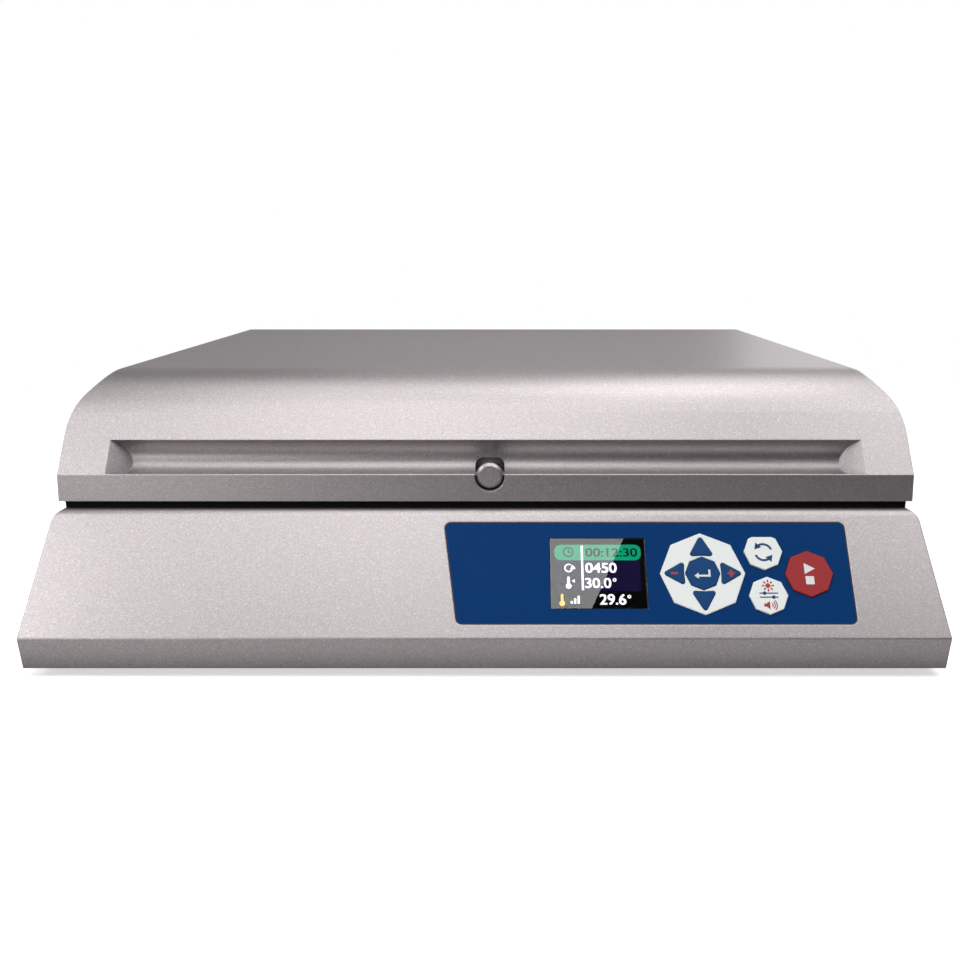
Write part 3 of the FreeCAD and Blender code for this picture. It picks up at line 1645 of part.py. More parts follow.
def catch_spring():
    # a coil between the back of the button and its seat in the lid
    start = lid_front + g.catch_recess + g.catch_skin + g.spring_wire + g.fit_gap
    end = lid_front + g.spring_seat - g.spring_wire - g.fit_gap
    coil = doc.addObject("Part::Helix", "Coil")
    tie(coil, "Pitch", (end - start) / g.spring_turns)
    tie(coil, "Height", end - start)
    tie(coil, "Radius", g.spring_radius)
    ring = doc.addObject("Part::Circle", "Wire")
    tie(ring, "Radius", g.spring_wire)
    ring.Placement = Placement(Vector(), Rotation(Vector(1, 0, 0), right_angle))
    tie(ring, "Placement.Base.x", g.spring_radius)
    sweep = doc.addObject("Part::Sweep", "Spring")
    sweep.Sections = [ring]
    doc.recompute()
    sweep.Spine = (coil, [])
    sweep.Solid = True
    sweep.Frenet = True
    sweep.Placement = Placement(Vector(), Rotation(Vector(1, 0, 0), -right_angle))
    at(sweep, g.catch_shift, start, catch_level)
    return keep("catch_spring", sweep)


def catch_cap():
    radius = g.catch_radius + g.catch_hole_gap + g.catch_boss_wall
    start = lid_front + g.catch_depth
    disc = rod(g.catch_shift, (start, start + g.catch_cap_thickness), catch_level, radius)
    return keep("catch_cap", disc)


def lid_liner():
    side = lid_half - g.liner_side_gap
    y = (lid_front + g.liner_front_gap, back - g.liner_back_gap)
    top = lid_floor + g.liner_rise
    pan = slab(mirrored(side), y, (lid_floor, top), g.liner_corner)
    edge = g.lid_wall + g.flange_gap
    wide = lid_half - edge
    flange = slab(
        mirrored(wide),
        (lid_front + edge, back - edge),
        (lid_floor, lid_floor + g.liner_flange),
        g.flange_gap,
    )
    t = g.liner_sheet
    inner = slab(
        mirrored(side - t), (y[0] + t, y[1] - t), (deck, top - t), g.liner_corner - t
    )
    half = g.hook_width / 2 + g.hook_slot_gap
    slot = block(
        (g.catch_shift - half, g.catch_shift + half),
        (
            hook_y - g.hook_tooth - g.hook_slot_gap,
            hook_y + g.hook_thickness + g.catch_travel + g.hook_slot_gap,
        ),
        (deck, lip),
    )
    tools = [inner, slot]
    head = (deck, lid_floor + g.screw_head_rise)
    tools.extend(rod(x, y, (deck, lip), g.screw_radius + g.fit_gap) for x, y in lid_boss_places)
    tools.extend(rod(x, y, head, g.screw_head_radius + g.flange_gap) for x, y in lid_boss_places)
    return keep("lid_liner", cut(fuse([pan, flange]), tools))


def lid_heater_mat():
    low = lid_floor + g.liner_rise
    side = lid_half - g.liner_side_gap - g.mat_inset
    y = (lid_front + g.liner_front_gap + g.mat_inset, back - g.liner_back_gap - g.mat_inset)
    return keep("lid_heater_mat", slab(mirrored(side), y, (low, low + g.mat_thickness), g.liner_corner))


def lid_insulation():
    low = lid_floor + g.liner_rise + g.mat_thickness
    side = lid_half - g.liner_side_gap - g.lid_foam_inset
    y = (lid_front + g.liner_front_gap + g.lid_foam_front, back - g.liner_back_gap - g.lid_foam_inset)
    foam = block(mirrored(side), y, (low, low + g.lid_foam_thickness))
    return keep("lid_insulation", foam)


def lid_screws():
    made = screws(lid_boss_places, lid_floor + g.screw_head_rise, -1)
    made.extend(screws_back(hinge_screw_places(1), back + g.hinge_leaf))
    return keep("lid_screws", fuse(made))


def hinge_leaf(side, x):
    # one leaf: side -1 stands on the base with two knuckles, 1 on the lid with one
    near_edge = lid_floor + side * (g.barrel_radius + g.hinge_notch)
    far_edge = near_edge + side * g.hinge_leaf_rise
    wide = (x - g.hinge_half, x + g.hinge_half)
    y = (back, back + g.hinge_leaf)
    z = (near_edge, far_edge) if side > 0 else (far_edge, near_edge)
    parts = [block(wide, y, z)]
    inner = g.hinge_middle_half
    if side > 0:
        spans = [(x - inner, x + inner)]
    else:
        gap = inner + g.hinge_gap
        spans = [(x - g.hinge_half, x - gap), (x + gap, x + g.hinge_half)]
    for span in spans:
        parts.append(rod(span, hinge_y, lid_floor, g.barrel_radius))
        z = (lid_floor, near_edge) if side > 0 else (near_edge, lid_floor)
        parts.append(block(span, y, z))
    bore = rod(wide, hinge_y, lid_floor, g.hinge_pin_radius + g.hinge_pin_gap)
    reach = g.hinge_half.number
    places = [place for place in hinge_screw_places(side) if abs(place[0].number - x.number) < reach]
    holes = [rod(px, (back - g.casing_wall, hinge_y), pz, g.screw_radius + g.fit_gap) for px, pz in places]
    return cut(fuse(parts), [bore] + holes)


def hinges():
    keep("hinge_leaves_base", fuse([hinge_leaf(-1, x) for x in hinge_places]))
    keep("hinge_leaves_lid", fuse([hinge_leaf(1, x) for x in hinge_places]))
    spans = [(x - g.hinge_half, x + g.hinge_half) for x in hinge_places]
    pins = [rod(span, hinge_y, lid_floor, g.hinge_pin_radius) for span in spans]
    keep("hinge_pins", fuse(pins))


def save_all():
    doc.recompute()
    for item in doc.Objects:
        if "Invalid" in item.State or "Error" in item.State:
            raise RuntimeError(item.Name + " did not compute: " + str(item.State))
    os.makedirs("parts", exist_ok=True)
    for piece in pieces:
        shape = piece.Shape
        if shape.isNull() or not shape.isValid() or not shape.Solids:
            raise RuntimeError(piece.Label + " has no sound shape")
        shape.exportStep("parts/" + piece.Label + ".step")
        box = shape.BoundBox
        print(piece.Label, len(shape.Solids), round(shape.Volume), [round(v, 1) for v in (
            box.XMin, box.XMax, box.YMin, box.YMax, box.ZMin, box.ZMax)])


base_casing()
bottom_plate()
rubber_feet()
base_screws()
chamber_tray()
base_heater_mat()
base_insulation()
temperature_probe()
lid_gasket()
catch_keeper()
panel_overlay()
nav_pad_face()
keys()
key_switches()
control_board()
display_window()
display_module()
power_inlet()
keep("inlet_pins", fuse(blades(as_size(0))))
power_switch_housing()
power_rocker()
rating_plate()
power_board()
drive_plate()
drive_pillars()
bearing_housing()
base_bearings()
motor_body()
motor_shaft()
motor_pulley()
drive_belt()
crank_shaft()
crank_pulley()
counterweight()
support_cranks()
platform()
platform_bearings()
plate_clips()
lid_cover()
catch_button()
catch_spring()
catch_cap()
lid_liner()
lid_heater_mat()
lid_insulation()
lid_screws()
hinges()
save_all()
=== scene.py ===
import math

import bmesh
import bpy
from mathutils import Matrix, Vector


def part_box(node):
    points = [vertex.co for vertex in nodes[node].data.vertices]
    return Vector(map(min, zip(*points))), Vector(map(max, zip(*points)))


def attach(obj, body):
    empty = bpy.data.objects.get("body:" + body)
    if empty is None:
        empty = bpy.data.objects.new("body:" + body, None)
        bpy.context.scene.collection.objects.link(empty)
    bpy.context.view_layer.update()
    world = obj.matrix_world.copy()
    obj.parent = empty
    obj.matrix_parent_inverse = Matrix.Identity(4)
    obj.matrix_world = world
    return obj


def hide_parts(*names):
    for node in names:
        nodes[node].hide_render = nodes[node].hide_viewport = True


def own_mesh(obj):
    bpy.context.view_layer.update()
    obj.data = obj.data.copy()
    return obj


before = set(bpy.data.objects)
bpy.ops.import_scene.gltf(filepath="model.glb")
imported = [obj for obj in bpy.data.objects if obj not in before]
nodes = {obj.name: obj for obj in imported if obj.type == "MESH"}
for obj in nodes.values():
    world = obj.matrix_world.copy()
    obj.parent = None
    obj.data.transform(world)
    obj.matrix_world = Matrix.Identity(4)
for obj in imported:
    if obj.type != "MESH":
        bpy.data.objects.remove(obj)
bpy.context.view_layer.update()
millimetre = 0.001
print("frame loaded:", len(nodes), "parts")

# camera, floor and lights

cameraView = {
    "lens": 37.5,
    "place": (0.010, -0.6083, 0.1886),
    "tilt": 77.184,        # degrees, 90 looks level
    "shift": -0.0277,
}

floorLook = {
    "reach": 2.4,
    "fadeStart": 0.30,        # the floor fades into the white round about here
    "fadeEnd": 1.15,
    "tone": 0.9,
    "glow": 0.60,        # keeps the seen floor near white where the lamps fall off
    "bounce": (0.52, 0.04),        # what the object sees of the floor, near it and far away
    "bounceFade": (0.50, 0.86),
    "bounceMiddle": 0.25,        # how far behind the middle that distance starts
    "speck": 900.0, "speckTone": 0.985,
    "sides": 96,
}

studio = {
    "roomTone": 0.02,        # what the object sees of the room
    "target": (0, -0.1, 0.08),
    # the key softbox: its right-hand edge draws the slanting line across the screen pane
    "key": {"place": (-0.222, -0.727, 1.315), "across": (-0.9042, 0.283, 0.3187),
            "along": (0.420, 0.726, 0.547), "size": (1.0, 0.85), "power": 6.2},
    # further softboxes: direction from the object in degrees (height, to the right), size and power
    "boxes": {
        "left_low": (30, -60, 0.65, 8.6),
        "front_low": (8, -30, 0.65, 2.8),
        "right_front": (50, 46, 0.6, 2.0),
        "right_side": (30, 60, 0.65, 0.8),
        "right_high": (60, 68, 0.65, 2.3),
        "over_front": (75, 30, 0.6, 0.5),
        "over_left": (98, -30, 0.65, 2.3),
        "over_right": (98, 30, 0.65, 3.8),
        "back_top": (122, 0, 0.65, 0.6),
        "back_right": (122, 34, 0.65, 1.7),
        "back_middle": (146, 0, 0.65, 0.3),
        "back_low": (166, 30, 0.65, 1.2),
    },
    "reach": 1.5,
    "boxAspect": 0.92,
    # broad dim walls of light: place, the way across, size and power
    "walls": {
        "back": ((0, 2.3, 1.0), (-1, 0, 0), (3.4, 1.5), 4.5),
        "left": ((-2.3, 0.3, 0.9), (0, 1, 0), (3.0, 1.7), 5.0),
        "right": ((2.3, 0.3, 0.9), (0, -1, 0), (3.0, 1.7), 5.0),
    },
}


def put(tree, kind, inputs=None, **settings):
    node = tree.nodes.new("ShaderNode" + kind)
    for key, value in settings.items():
        setattr(node, key, value)
    for key, value in (inputs or {}).items():
        if isinstance(value, bpy.types.NodeSocket):
            tree.links.new(value, node.inputs[key])
        else:
            node.inputs[key].default_value = value
    return node


def makeCamera(view):
    camera = bpy.data.objects.new("camera", bpy.data.cameras.new("camera"))
    bpy.context.scene.collection.objects.link(camera)
    camera.location = view["place"]
    camera.rotation_euler = (math.radians(view["tilt"]), 0, 0)
    camera.data.lens = view["lens"]
    camera.data.shift_x = view["shift"]
    camera.data.clip_start = 0.01
    bpy.context.scene.camera = camera


def softLight(name, size, power, matrix):
    lamp = bpy.data.lights.new(name, "AREA")
    lamp.shape = "RECTANGLE"
    lamp.size, lamp.size_y = size
    lamp.energy = power
    holder = bpy.data.objects.new(name, lamp)
    bpy.context.scene.collection.objects.link(holder)
    holder.matrix_world = matrix


def aimed(height, right, reach, target):
    # a place on a dome round the object, turned towards it; high ones stand nearer the middle
    rise, turn = math.radians(height), math.radians(right)
    side = math.sin(turn) * (0.35 + 0.65 * abs(math.cos(rise)))
    back = Vector((side, -math.cos(turn) * math.cos(rise), math.sin(rise))).normalized()
    place = Vector(target) + back * reach
    return Matrix.Translation(place) @ back.to_track_quat("Z", "Y").to_matrix().to_4x4()


def framed(place, across, along):
    across, along = Vector(across).normalized(), Vector(along).normalized()
    face = across.cross(along)
    if face.z < 0:        # the lamp shines down its own -Z
        along = -along
        face = -face
    turned = Matrix((across, along, face)).transposed().to_4x4()
    return Matrix.Translation(place) @ turned


def makeStudio(room):
    key = room["key"]
    softLight("key_softbox", key["size"], key["power"], framed(key["place"], key["across"], key["along"]))
    for name, (height, right, size, power) in room["boxes"].items():
        softLight(name + "_softbox", (size, size * room["boxAspect"]), power,
                  aimed(height, right, room["reach"], room["target"]))
    for name, (place, across, size, power) in room["walls"].items():
        face = Vector(across).cross(Vector((0, 0, 1)))
        upright = Matrix((across, (0, 0, 1), face)).transposed().to_4x4()
        softLight(name + "_wall", size, power, Matrix.Translation(place) @ upright)
    world = bpy.data.worlds.new("white_room")
    world.use_nodes = True
    bpy.context.scene.world = world
    tree = world.node_tree
    tree.nodes.clear()
    seen = put(tree, "Background", {"Color": (1, 1, 1, 1), "Strength": 1.0})
    felt = put(tree, "Background", {"Color": (1, 1, 1, 1), "Strength": room["roomTone"]})
    which = put(tree, "LightPath")
    both = put(tree, "MixShader", {0: which.outputs["Is Camera Ray"]})
    tree.links.new(felt.outputs[0], both.inputs[1])
    tree.links.new(seen.outputs[0], both.inputs[2])
    out = put(tree, "OutputWorld")
    tree.links.new(both.outputs[0], out.inputs["Surface"])
    bpy.context.scene.view_settings.view_transform = "Standard"


def makeFloor(look):
    mesh = bpy.data.meshes.new("studio_floor")
    shape = bmesh.new()
    bmesh.ops.create_circle(shape, cap_ends=True, segments=look["sides"], radius=look["reach"])
    shape.to_mesh(mesh)
    shape.free()
    floor = bpy.data.objects.new("studio_floor", mesh)
    bpy.context.scene.collection.objects.link(floor)
    finish = bpy.data.materials.new("pale_floor")
    finish.use_nodes = True
    tree = finish.node_tree
    tree.nodes.clear()
    place = put(tree, "TexCoord").outputs["Object"]
    reach = put(tree, "VectorMath", {0: place}, operation="LENGTH").outputs["Value"]
    fade = put(tree, "MapRange", {"Value": reach, "From Min": look["fadeStart"],
                                  "From Max": look["fadeEnd"]}, interpolation_type="SMOOTHERSTEP")
    speck = put(tree, "TexNoise", {"Vector": place, "Scale": look["speck"], "Detail": 2.0})
    which = put(tree, "LightPath")
    shifted = put(tree, "VectorMath", {0: place, 1: (0, look["bounceMiddle"], 0)}, operation="SUBTRACT")
    far = put(tree, "VectorMath", {0: shifted.outputs[0]}, operation="LENGTH").outputs["Value"]
    thrown = put(tree, "MapRange", {"Value": far, "From Min": look["bounceFade"][0],
                                    "From Max": look["bounceFade"][1], "To Min": look["bounce"][0],
                                    "To Max": look["bounce"][1]}, interpolation_type="SMOOTHERSTEP")
    tone = put(tree, "MapRange", {"Value": which.outputs["Is Camera Ray"],
                                  "To Min": thrown.outputs[0], "To Max": look["tone"]})
    speckled = put(tree, "MapRange", {"Value": speck.outputs[0], "To Min": look["speckTone"], "To Max": 1.0})
    shade = put(tree, "Math", {0: tone.outputs[0], 1: speckled.outputs[0]}, operation="MULTIPLY")
    matt = put(tree, "BsdfDiffuse", {"Color": shade.outputs[0]})
    lift = put(tree, "Math", {0: which.outputs["Is Camera Ray"], 1: look["glow"]}, operation="MULTIPLY")
    glow = put(tree, "Emission", {"Color": (1, 1, 1, 1), "Strength": lift.outputs[0]})
    lit = put(tree, "AddShader", {0: matt.outputs[0], 1: glow.outputs[0]})
    clear = put(tree, "BsdfTransparent")
    both = put(tree, "MixShader", {0: fade.outputs[0]})
    tree.links.new(lit.outputs[0], both.inputs[1])
    tree.links.new(clear.outputs[0], both.inputs[2])
    out = put(tree, "OutputMaterial")
    tree.links.new(both.outputs[0], out.inputs["Surface"])
    mesh.materials.append(finish)


makeCamera(cameraView)
makeStudio(studio)
makeFloor(floorLook)
print("camera, lights and floor made")

# finishes

finishes = {}


def startFinish(name):
    finish = bpy.data.materials.new(name)
    finish.use_nodes = True
    finishes[name] = finish
    return finish.node_tree, finish.node_tree.nodes["Principled BSDF"]


def rgb(colour):
    return (*colour, 1.0)


grainSpan = (0.3, 0.7)        # the part of the grain noise that is used


def shades(tree, fac, low, high):
    ramp = put(tree, "ValToRGB", {"Fac": fac})
    ramp.color_ramp.elements[0].position = grainSpan[0]
    ramp.color_ramp.elements[1].position = grainSpan[1]
    ramp.color_ramp.elements[0].color = rgb(low)
    ramp.color_ramp.elements[1].color = rgb(high)
    return ramp.outputs["Color"]


def surface(name, look):
    # grain and patches colour the surface, painted shade darkens it where ambient occlusion finds hollows,
    # creases and overhangs, relief raises it, edges are softened
    tree, shader = startFinish(name)
    place = put(tree, "TexCoord").outputs["Object"]
    drawn = place
    if "stretch" in look:
        drawn = put(tree, "Mapping", {"Vector": place, "Scale": look["stretch"]}).outputs["Vector"]
    grain = put(tree, "TexNoise", {"Vector": drawn, "Scale": look["grain"], "Detail": 3.0,
                                   "Roughness": 0.6}).outputs[0]
    patch = put(tree, "TexNoise", {"Vector": place, "Scale": look["patch"], "Detail": 2.0}).outputs[0]
    colour = shades(tree, grain, look["dark"], look["light"])
    worn = put(tree, "Mix", {0: patch, "A": colour}, data_type="RGBA", blend_type="MULTIPLY")
    depth = look.get("patchDepth", 0.05)
    worn.inputs["B"].default_value = (1 - depth, 1 - depth, 1 - depth, 1)
    mixed = worn.outputs["Result"]
    if "fleck" in look:
        cells = put(tree, "TexVoronoi", {"Vector": place, "Scale": look["fleck"]})
        chance = put(tree, "SeparateColor", {"Color": cells.outputs["Color"]}).outputs[0]
        bright = put(tree, "MapRange", {"Value": chance, "From Min": look["fleckFrom"], "From Max": 1.0,
                                        "To Min": 0.0, "To Max": look["fleckGlow"]})
        glint = put(tree, "Mix", {0: bright.outputs[0], "A": mixed}, data_type="RGBA",
                    blend_type="SCREEN")
        glint.inputs["B"].default_value = (1, 1, 1, 1)
        mixed = glint.outputs["Result"]
    # painted shade: the colour is darkened where ambient occlusion finds the surface shut in, in grooves,
    # creases, gaps and under the lid's overhang
    if "hollow" in look:
        opening = put(tree, "AmbientOcclusion", {"Distance": look["hollow"]}, samples=8)
        reach = put(tree, "MapRange", {"Value": opening.outputs["AO"], "From Min": look["hollowFrom"],
                                       "From Max": look["hollowTo"], "To Min": look["hollowDark"],
                                       "To Max": 1.0})
        both = put(tree, "CombineColor", {0: reach.outputs[0], 1: reach.outputs[0], 2: reach.outputs[0]})
        hollow = put(tree, "Mix", {0: 1.0, "A": mixed, "B": both.outputs[0]}, data_type="RGBA",
                     blend_type="MULTIPLY")
        mixed = hollow.outputs["Result"]
    tree.links.new(mixed, shader.inputs["Base Color"])
    rough = put(tree, "MapRange", {"Value": grain, "From Min": grainSpan[0], "From Max": grainSpan[1],
                                   "To Min": look["rough"][0], "To Max": look["rough"][1]})
    tree.links.new(rough.outputs[0], shader.inputs["Roughness"])
    shader.inputs["Metallic"].default_value = look.get("metal", 0.0)
    shader.inputs["IOR"].default_value = look.get("ior", 1.5)
    if "glow" in look:
        shader.inputs["Emission Strength"].default_value = look["glow"]
        tree.links.new(mixed, shader.inputs["Emission Color"])
    bump = put(tree, "Bump", {"Height": grain, "Strength": look.get("strength", 0.3),
                              "Distance": look.get("relief", 0.0001)})
    if look.get("edge"):
        soft = put(tree, "Bevel", {"Radius": look["edge"]}, samples=4)
        tree.links.new(soft.outputs[0], bump.inputs["Normal"])
    tree.links.new(bump.outputs[0], shader.inputs["Normal"])


pearl = {
    "dark": (0.42, 0.383, 0.388), "light": (0.60, 0.553, 0.560), "grain": 1500.0, "patch": 14.0,
    "patchDepth": 0.04, "rough": (0.36, 0.46), "metal": 0.85, "strength": 0.3, "relief": 0.0001,
    # the last four entries set the painted shade in hollows and under overhangs: its reach, the occlusion
    # span and the darkest share
    "fleck": 1700.0, "fleckFrom": 0.82, "fleckGlow": 0.2, "edge": 0.0010, "hollow": 0.022,
    "hollowFrom": 0.3, "hollowTo": 0.9, "hollowDark": 0.08,
}

looks = {
    "casing_paint": pearl,
    # the lid and the button paint shade into their hollows over a shorter reach
    "lid_paint": {**pearl, "edge": 0.0005, "hollow": 0.014, "hollowFrom": 0.15, "hollowDark": 0.15},
    "button_paint": {**pearl, "edge": 0.0003, "hollow": 0.002},
    "bottom_steel": {"dark": (0.40, 0.41, 0.42), "light": (0.56, 0.57, 0.58), "grain": 260.0,
                     "patch": 60.0, "patchDepth": 0.25, "rough": (0.32, 0.5), "metal": 1.0,
                     "edge": 0.0004},
    "foot_rubber": {"dark": (0.012, 0.012, 0.013), "light": (0.03, 0.03, 0.031), "grain": 1400.0,
                    "patch": 90.0, "patchDepth": 0.2, "rough": (0.7, 0.9), "edge": 0.0006},
    "screw_steel": {"dark": (0.45, 0.45, 0.46), "light": (0.68, 0.68, 0.69), "grain": 900.0,
                    "patch": 120.0, "patchDepth": 0.15, "rough": (0.22, 0.4), "metal": 1.0,
                    "edge": 0.0003},
    "tray_aluminium": {"dark": (0.60, 0.61, 0.62), "light": (0.74, 0.75, 0.76), "grain": 2600.0,
                       "stretch": (0.02, 1.0, 1.0), "patch": 12.0, "patchDepth": 0.08,
                       "rough": (0.28, 0.40), "metal": 1.0, "strength": 0.15, "relief": 0.00003,
                       "edge": 0.0006},
    "heater_silicone": {"dark": (0.30, 0.045, 0.015), "light": (0.42, 0.075, 0.03), "grain": 800.0,
                        "patch": 30.0, "rough": (0.6, 0.75)},
    "foam": {"dark": (0.03, 0.03, 0.032), "light": (0.09, 0.09, 0.095), "grain": 900.0, "patch": 30.0,
             "rough": (0.85, 0.95), "strength": 0.8, "relief": 0.0004},
    "probe_steel": {"dark": (0.60, 0.60, 0.61), "light": (0.72, 0.72, 0.73), "grain": 500.0,
                    "stretch": (1.0, 1.0, 0.05), "patch": 80.0, "rough": (0.15, 0.25), "metal": 1.0},
    "gasket_rubber": {"dark": (0.003, 0.003, 0.003), "light": (0.009, 0.009, 0.010), "grain": 1100.0,
                      "patch": 60.0, "patchDepth": 0.2, "rough": (0.75, 0.9), "edge": 0.0005,
                      "ior": 1.25},
    "keeper_steel": {"dark": (0.52, 0.52, 0.53), "light": (0.68, 0.68, 0.69), "grain": 600.0,
                     "stretch": (0.05, 1.0, 1.0), "patch": 50.0, "rough": (0.25, 0.38), "metal": 1.0,
                     "edge": 0.0003},
    "overlay_blue": {"dark": (0.0015, 0.036, 0.150), "light": (0.0035, 0.047, 0.185), "grain": 2600.0,
                     "patch": 25.0, "patchDepth": 0.06, "rough": (0.34, 0.46), "strength": 0.25,
                     "relief": 0.00004, "edge": 0.0002, "ior": 1.12},
    "key_white": {"dark": (0.86, 0.91, 0.895), "light": (0.95, 0.975, 0.965), "grain": 1300.0,
                  "patch": 200.0, "patchDepth": 0.05, "rough": (0.36, 0.5), "strength": 0.3,
                  "relief": 0.00005, "edge": 0.0004},
    "key_blue": {"dark": (0.0045, 0.052, 0.175), "light": (0.008, 0.068, 0.215), "grain": 2600.0,
                 "patch": 120.0, "patchDepth": 0.05, "rough": (0.32, 0.44), "strength": 0.25,
                 "relief": 0.00004, "edge": 0.0004, "ior": 1.25},
    "key_red": {"dark": (0.33, 0.026, 0.030), "light": (0.42, 0.036, 0.040), "grain": 2200.0,
                "patch": 120.0, "patchDepth": 0.05, "rough": (0.32, 0.44), "strength": 0.25,
                "relief": 0.00004, "edge": 0.0004, "ior": 1.3},
    "screen": {"dark": (0.008, 0.008, 0.009), "light": (0.014, 0.014, 0.016), "grain": 900.0,
               "patch": 60.0, "rough": (0.3, 0.4)},
    "board_green": {"dark": (0.008, 0.075, 0.03), "light": (0.015, 0.13, 0.05), "grain": 350.0,
                    "stretch": (1.0, 6.0, 1.0), "patch": 60.0, "patchDepth": 0.3, "rough": (0.3, 0.5)},
    "switch_black": {"dark": (0.012, 0.012, 0.012), "light": (0.028, 0.028, 0.029), "grain": 1500.0,
                     "patch": 80.0, "rough": (0.38, 0.55), "edge": 0.0003},
    "inlet_black": {"dark": (0.012, 0.012, 0.012), "light": (0.026, 0.026, 0.027), "grain": 1700.0,
                    "patch": 70.0, "rough": (0.35, 0.5), "edge": 0.0004},
    "pin_brass": {"dark": (0.62, 0.60, 0.55), "light": (0.78, 0.76, 0.70), "grain": 600.0,
                  "stretch": (1.0, 0.1, 1.0), "patch": 90.0, "rough": (0.18, 0.28), "metal": 1.0,
                  "edge": 0.0003},
    "rocker_black": {"dark": (0.010, 0.010, 0.010), "light": (0.019, 0.019, 0.020), "grain": 1500.0,
                     "patch": 70.0, "rough": (0.18, 0.3), "edge": 0.0005},
    "rating_foil": {"dark": (0.55, 0.56, 0.57), "light": (0.72, 0.73, 0.74), "grain": 2400.0,
                    "stretch": (0.03, 1.0, 1.0), "patch": 40.0, "rough": (0.3, 0.42), "metal": 0.9,
                    "strength": 0.15, "relief": 0.00003, "edge": 0.0002},
    "plate_aluminium": {"dark": (0.58, 0.59, 0.60), "light": (0.72, 0.73, 0.74), "grain": 500.0,
                        "stretch": (1.0, 0.06, 1.0), "patch": 25.0, "rough": (0.25, 0.4), "metal": 1.0,
                        "edge": 0.0004},
    "bearing_steel": {"dark": (0.50, 0.50, 0.51), "light": (0.66, 0.66, 0.67), "grain": 900.0,
                      "patch": 120.0, "rough": (0.15, 0.28), "metal": 1.0, "edge": 0.0003},
    "motor_black": {"dark": (0.015, 0.015, 0.016), "light": (0.035, 0.035, 0.036), "grain": 1300.0,
                    "patch": 50.0, "rough": (0.4, 0.6), "edge": 0.0005},
    "shaft_steel": {"dark": (0.52, 0.52, 0.53), "light": (0.68, 0.68, 0.69), "grain": 600.0,
                    "stretch": (1.0, 1.0, 0.06), "patch": 90.0, "rough": (0.15, 0.3), "metal": 1.0,
                    "edge": 0.0003},
    "belt_rubber": {"dark": (0.010, 0.010, 0.011), "light": (0.024, 0.024, 0.025), "grain": 1400.0,
                    "patch": 70.0, "rough": (0.6, 0.8)},
    "weight_brass": {"dark": (0.50, 0.33, 0.12), "light": (0.66, 0.46, 0.19), "grain": 600.0,
                     "patch": 60.0, "rough": (0.28, 0.45), "metal": 1.0, "edge": 0.0004},
    "platform_aluminium": {"dark": (0.50, 0.51, 0.52), "light": (0.64, 0.65, 0.66), "grain": 1100.0,
                           "patch": 18.0, "patchDepth": 0.06, "rough": (0.38, 0.5), "metal": 1.0,
                           "strength": 0.3, "edge": 0.0005},
    "clip_steel": {"dark": (0.58, 0.58, 0.59), "light": (0.72, 0.72, 0.73), "grain": 700.0,
                   "patch": 90.0, "rough": (0.18, 0.3), "metal": 1.0, "edge": 0.0003},
    "liner_aluminium": {"dark": (0.62, 0.63, 0.64), "light": (0.76, 0.77, 0.78), "grain": 2600.0,
                        "stretch": (0.02, 1.0, 1.0), "patch": 10.0, "patchDepth": 0.08,
                        "rough": (0.26, 0.38), "metal": 1.0, "strength": 0.15, "relief": 0.00003,
                        "edge": 0.0006},
    "hinge_steel": {"dark": (0.50, 0.50, 0.51), "light": (0.66, 0.66, 0.67), "grain": 2400.0,
                    "stretch": (1.0, 1.0, 0.04), "patch": 70.0, "rough": (0.25, 0.36), "metal": 1.0,
                    "strength": 0.15, "relief": 0.00003, "edge": 0.0004},
}

printed = {"grain": 2500.0, "patch": 200.0, "rough": (0.4, 0.5), "relief": 0.00002}
# behind the pane: little shine of their own, most of them lit
lit = {"grain": 3000.0, "patch": 160.0, "rough": (0.4, 0.5), "relief": 0.00001, "ior": 1.05}

inks = {
    "ink_red": {**printed, "dark": (0.36, 0.03, 0.03), "light": (0.46, 0.045, 0.04)},
    "ink_navy": {**printed, "dark": (0.002, 0.006, 0.03), "light": (0.004, 0.010, 0.045)},
    "ink_blue": {**printed, "dark": (0.004, 0.03, 0.13), "light": (0.008, 0.045, 0.18)},
    "ink_white": {**printed, "dark": (0.74, 0.77, 0.78), "light": (0.88, 0.9, 0.9)},
    "glow_green": {**lit, "dark": (0.0, 0.24, 0.12), "light": (0.004, 0.33, 0.17), "glow": 0.9},
    "glow_white": {**lit, "dark": (0.82, 0.84, 0.88), "light": (1.0, 1.0, 1.0), "glow": 1.0},
    "glow_navy": {**lit, "dark": (0.004, 0.002, 0.018), "light": (0.008, 0.005, 0.034), "patch": 60.0,
                  "glow": 1.0},
    "glow_yellow": {**lit, "dark": (0.75, 0.48, 0.06), "light": (0.95, 0.66, 0.12), "glow": 0.9},
    "glow_off": {**lit, "dark": (0.0015, 0.0015, 0.002), "light": (0.004, 0.004, 0.005),
                 "patch": 60.0, "rough": (0.3, 0.4)},
    "ink_dark": {**lit, "dark": (0.0, 0.018, 0.010), "light": (0.002, 0.035, 0.02)},
}

windowLook = {"smear": 60.0, "rough": 0.006, "ior": 1.55}


def windowFinish(name, look):
    tree, shader = startFinish(name)
    place = put(tree, "TexCoord").outputs["Object"]
    smear = put(tree, "TexNoise", {"Vector": place, "Scale": look["smear"], "Detail": 3.0}).outputs[0]
    rough = put(tree, "MapRange", {"Value": smear, "To Min": 0.0, "To Max": look["rough"]})
    tree.links.new(rough.outputs[0], shader.inputs["Roughness"])
    shader.inputs["Base Color"].default_value = (1, 1, 1, 1)
    shader.inputs["Transmission Weight"].default_value = 1.0
    shader.inputs["IOR"].default_value = look["ior"]


for name, look in list(looks.items()) + list(inks.items()):
    surface(name, look)
windowFinish("window_clear", windowLook)

for node in nodes.values():
    for held in node.material_slots:
        held.material = finishes[held.material.name.split(".")[0]]
print("finishes made:", len(finishes))

# panel signs: flat shapes laid on the sloping panel, in millimetres along it

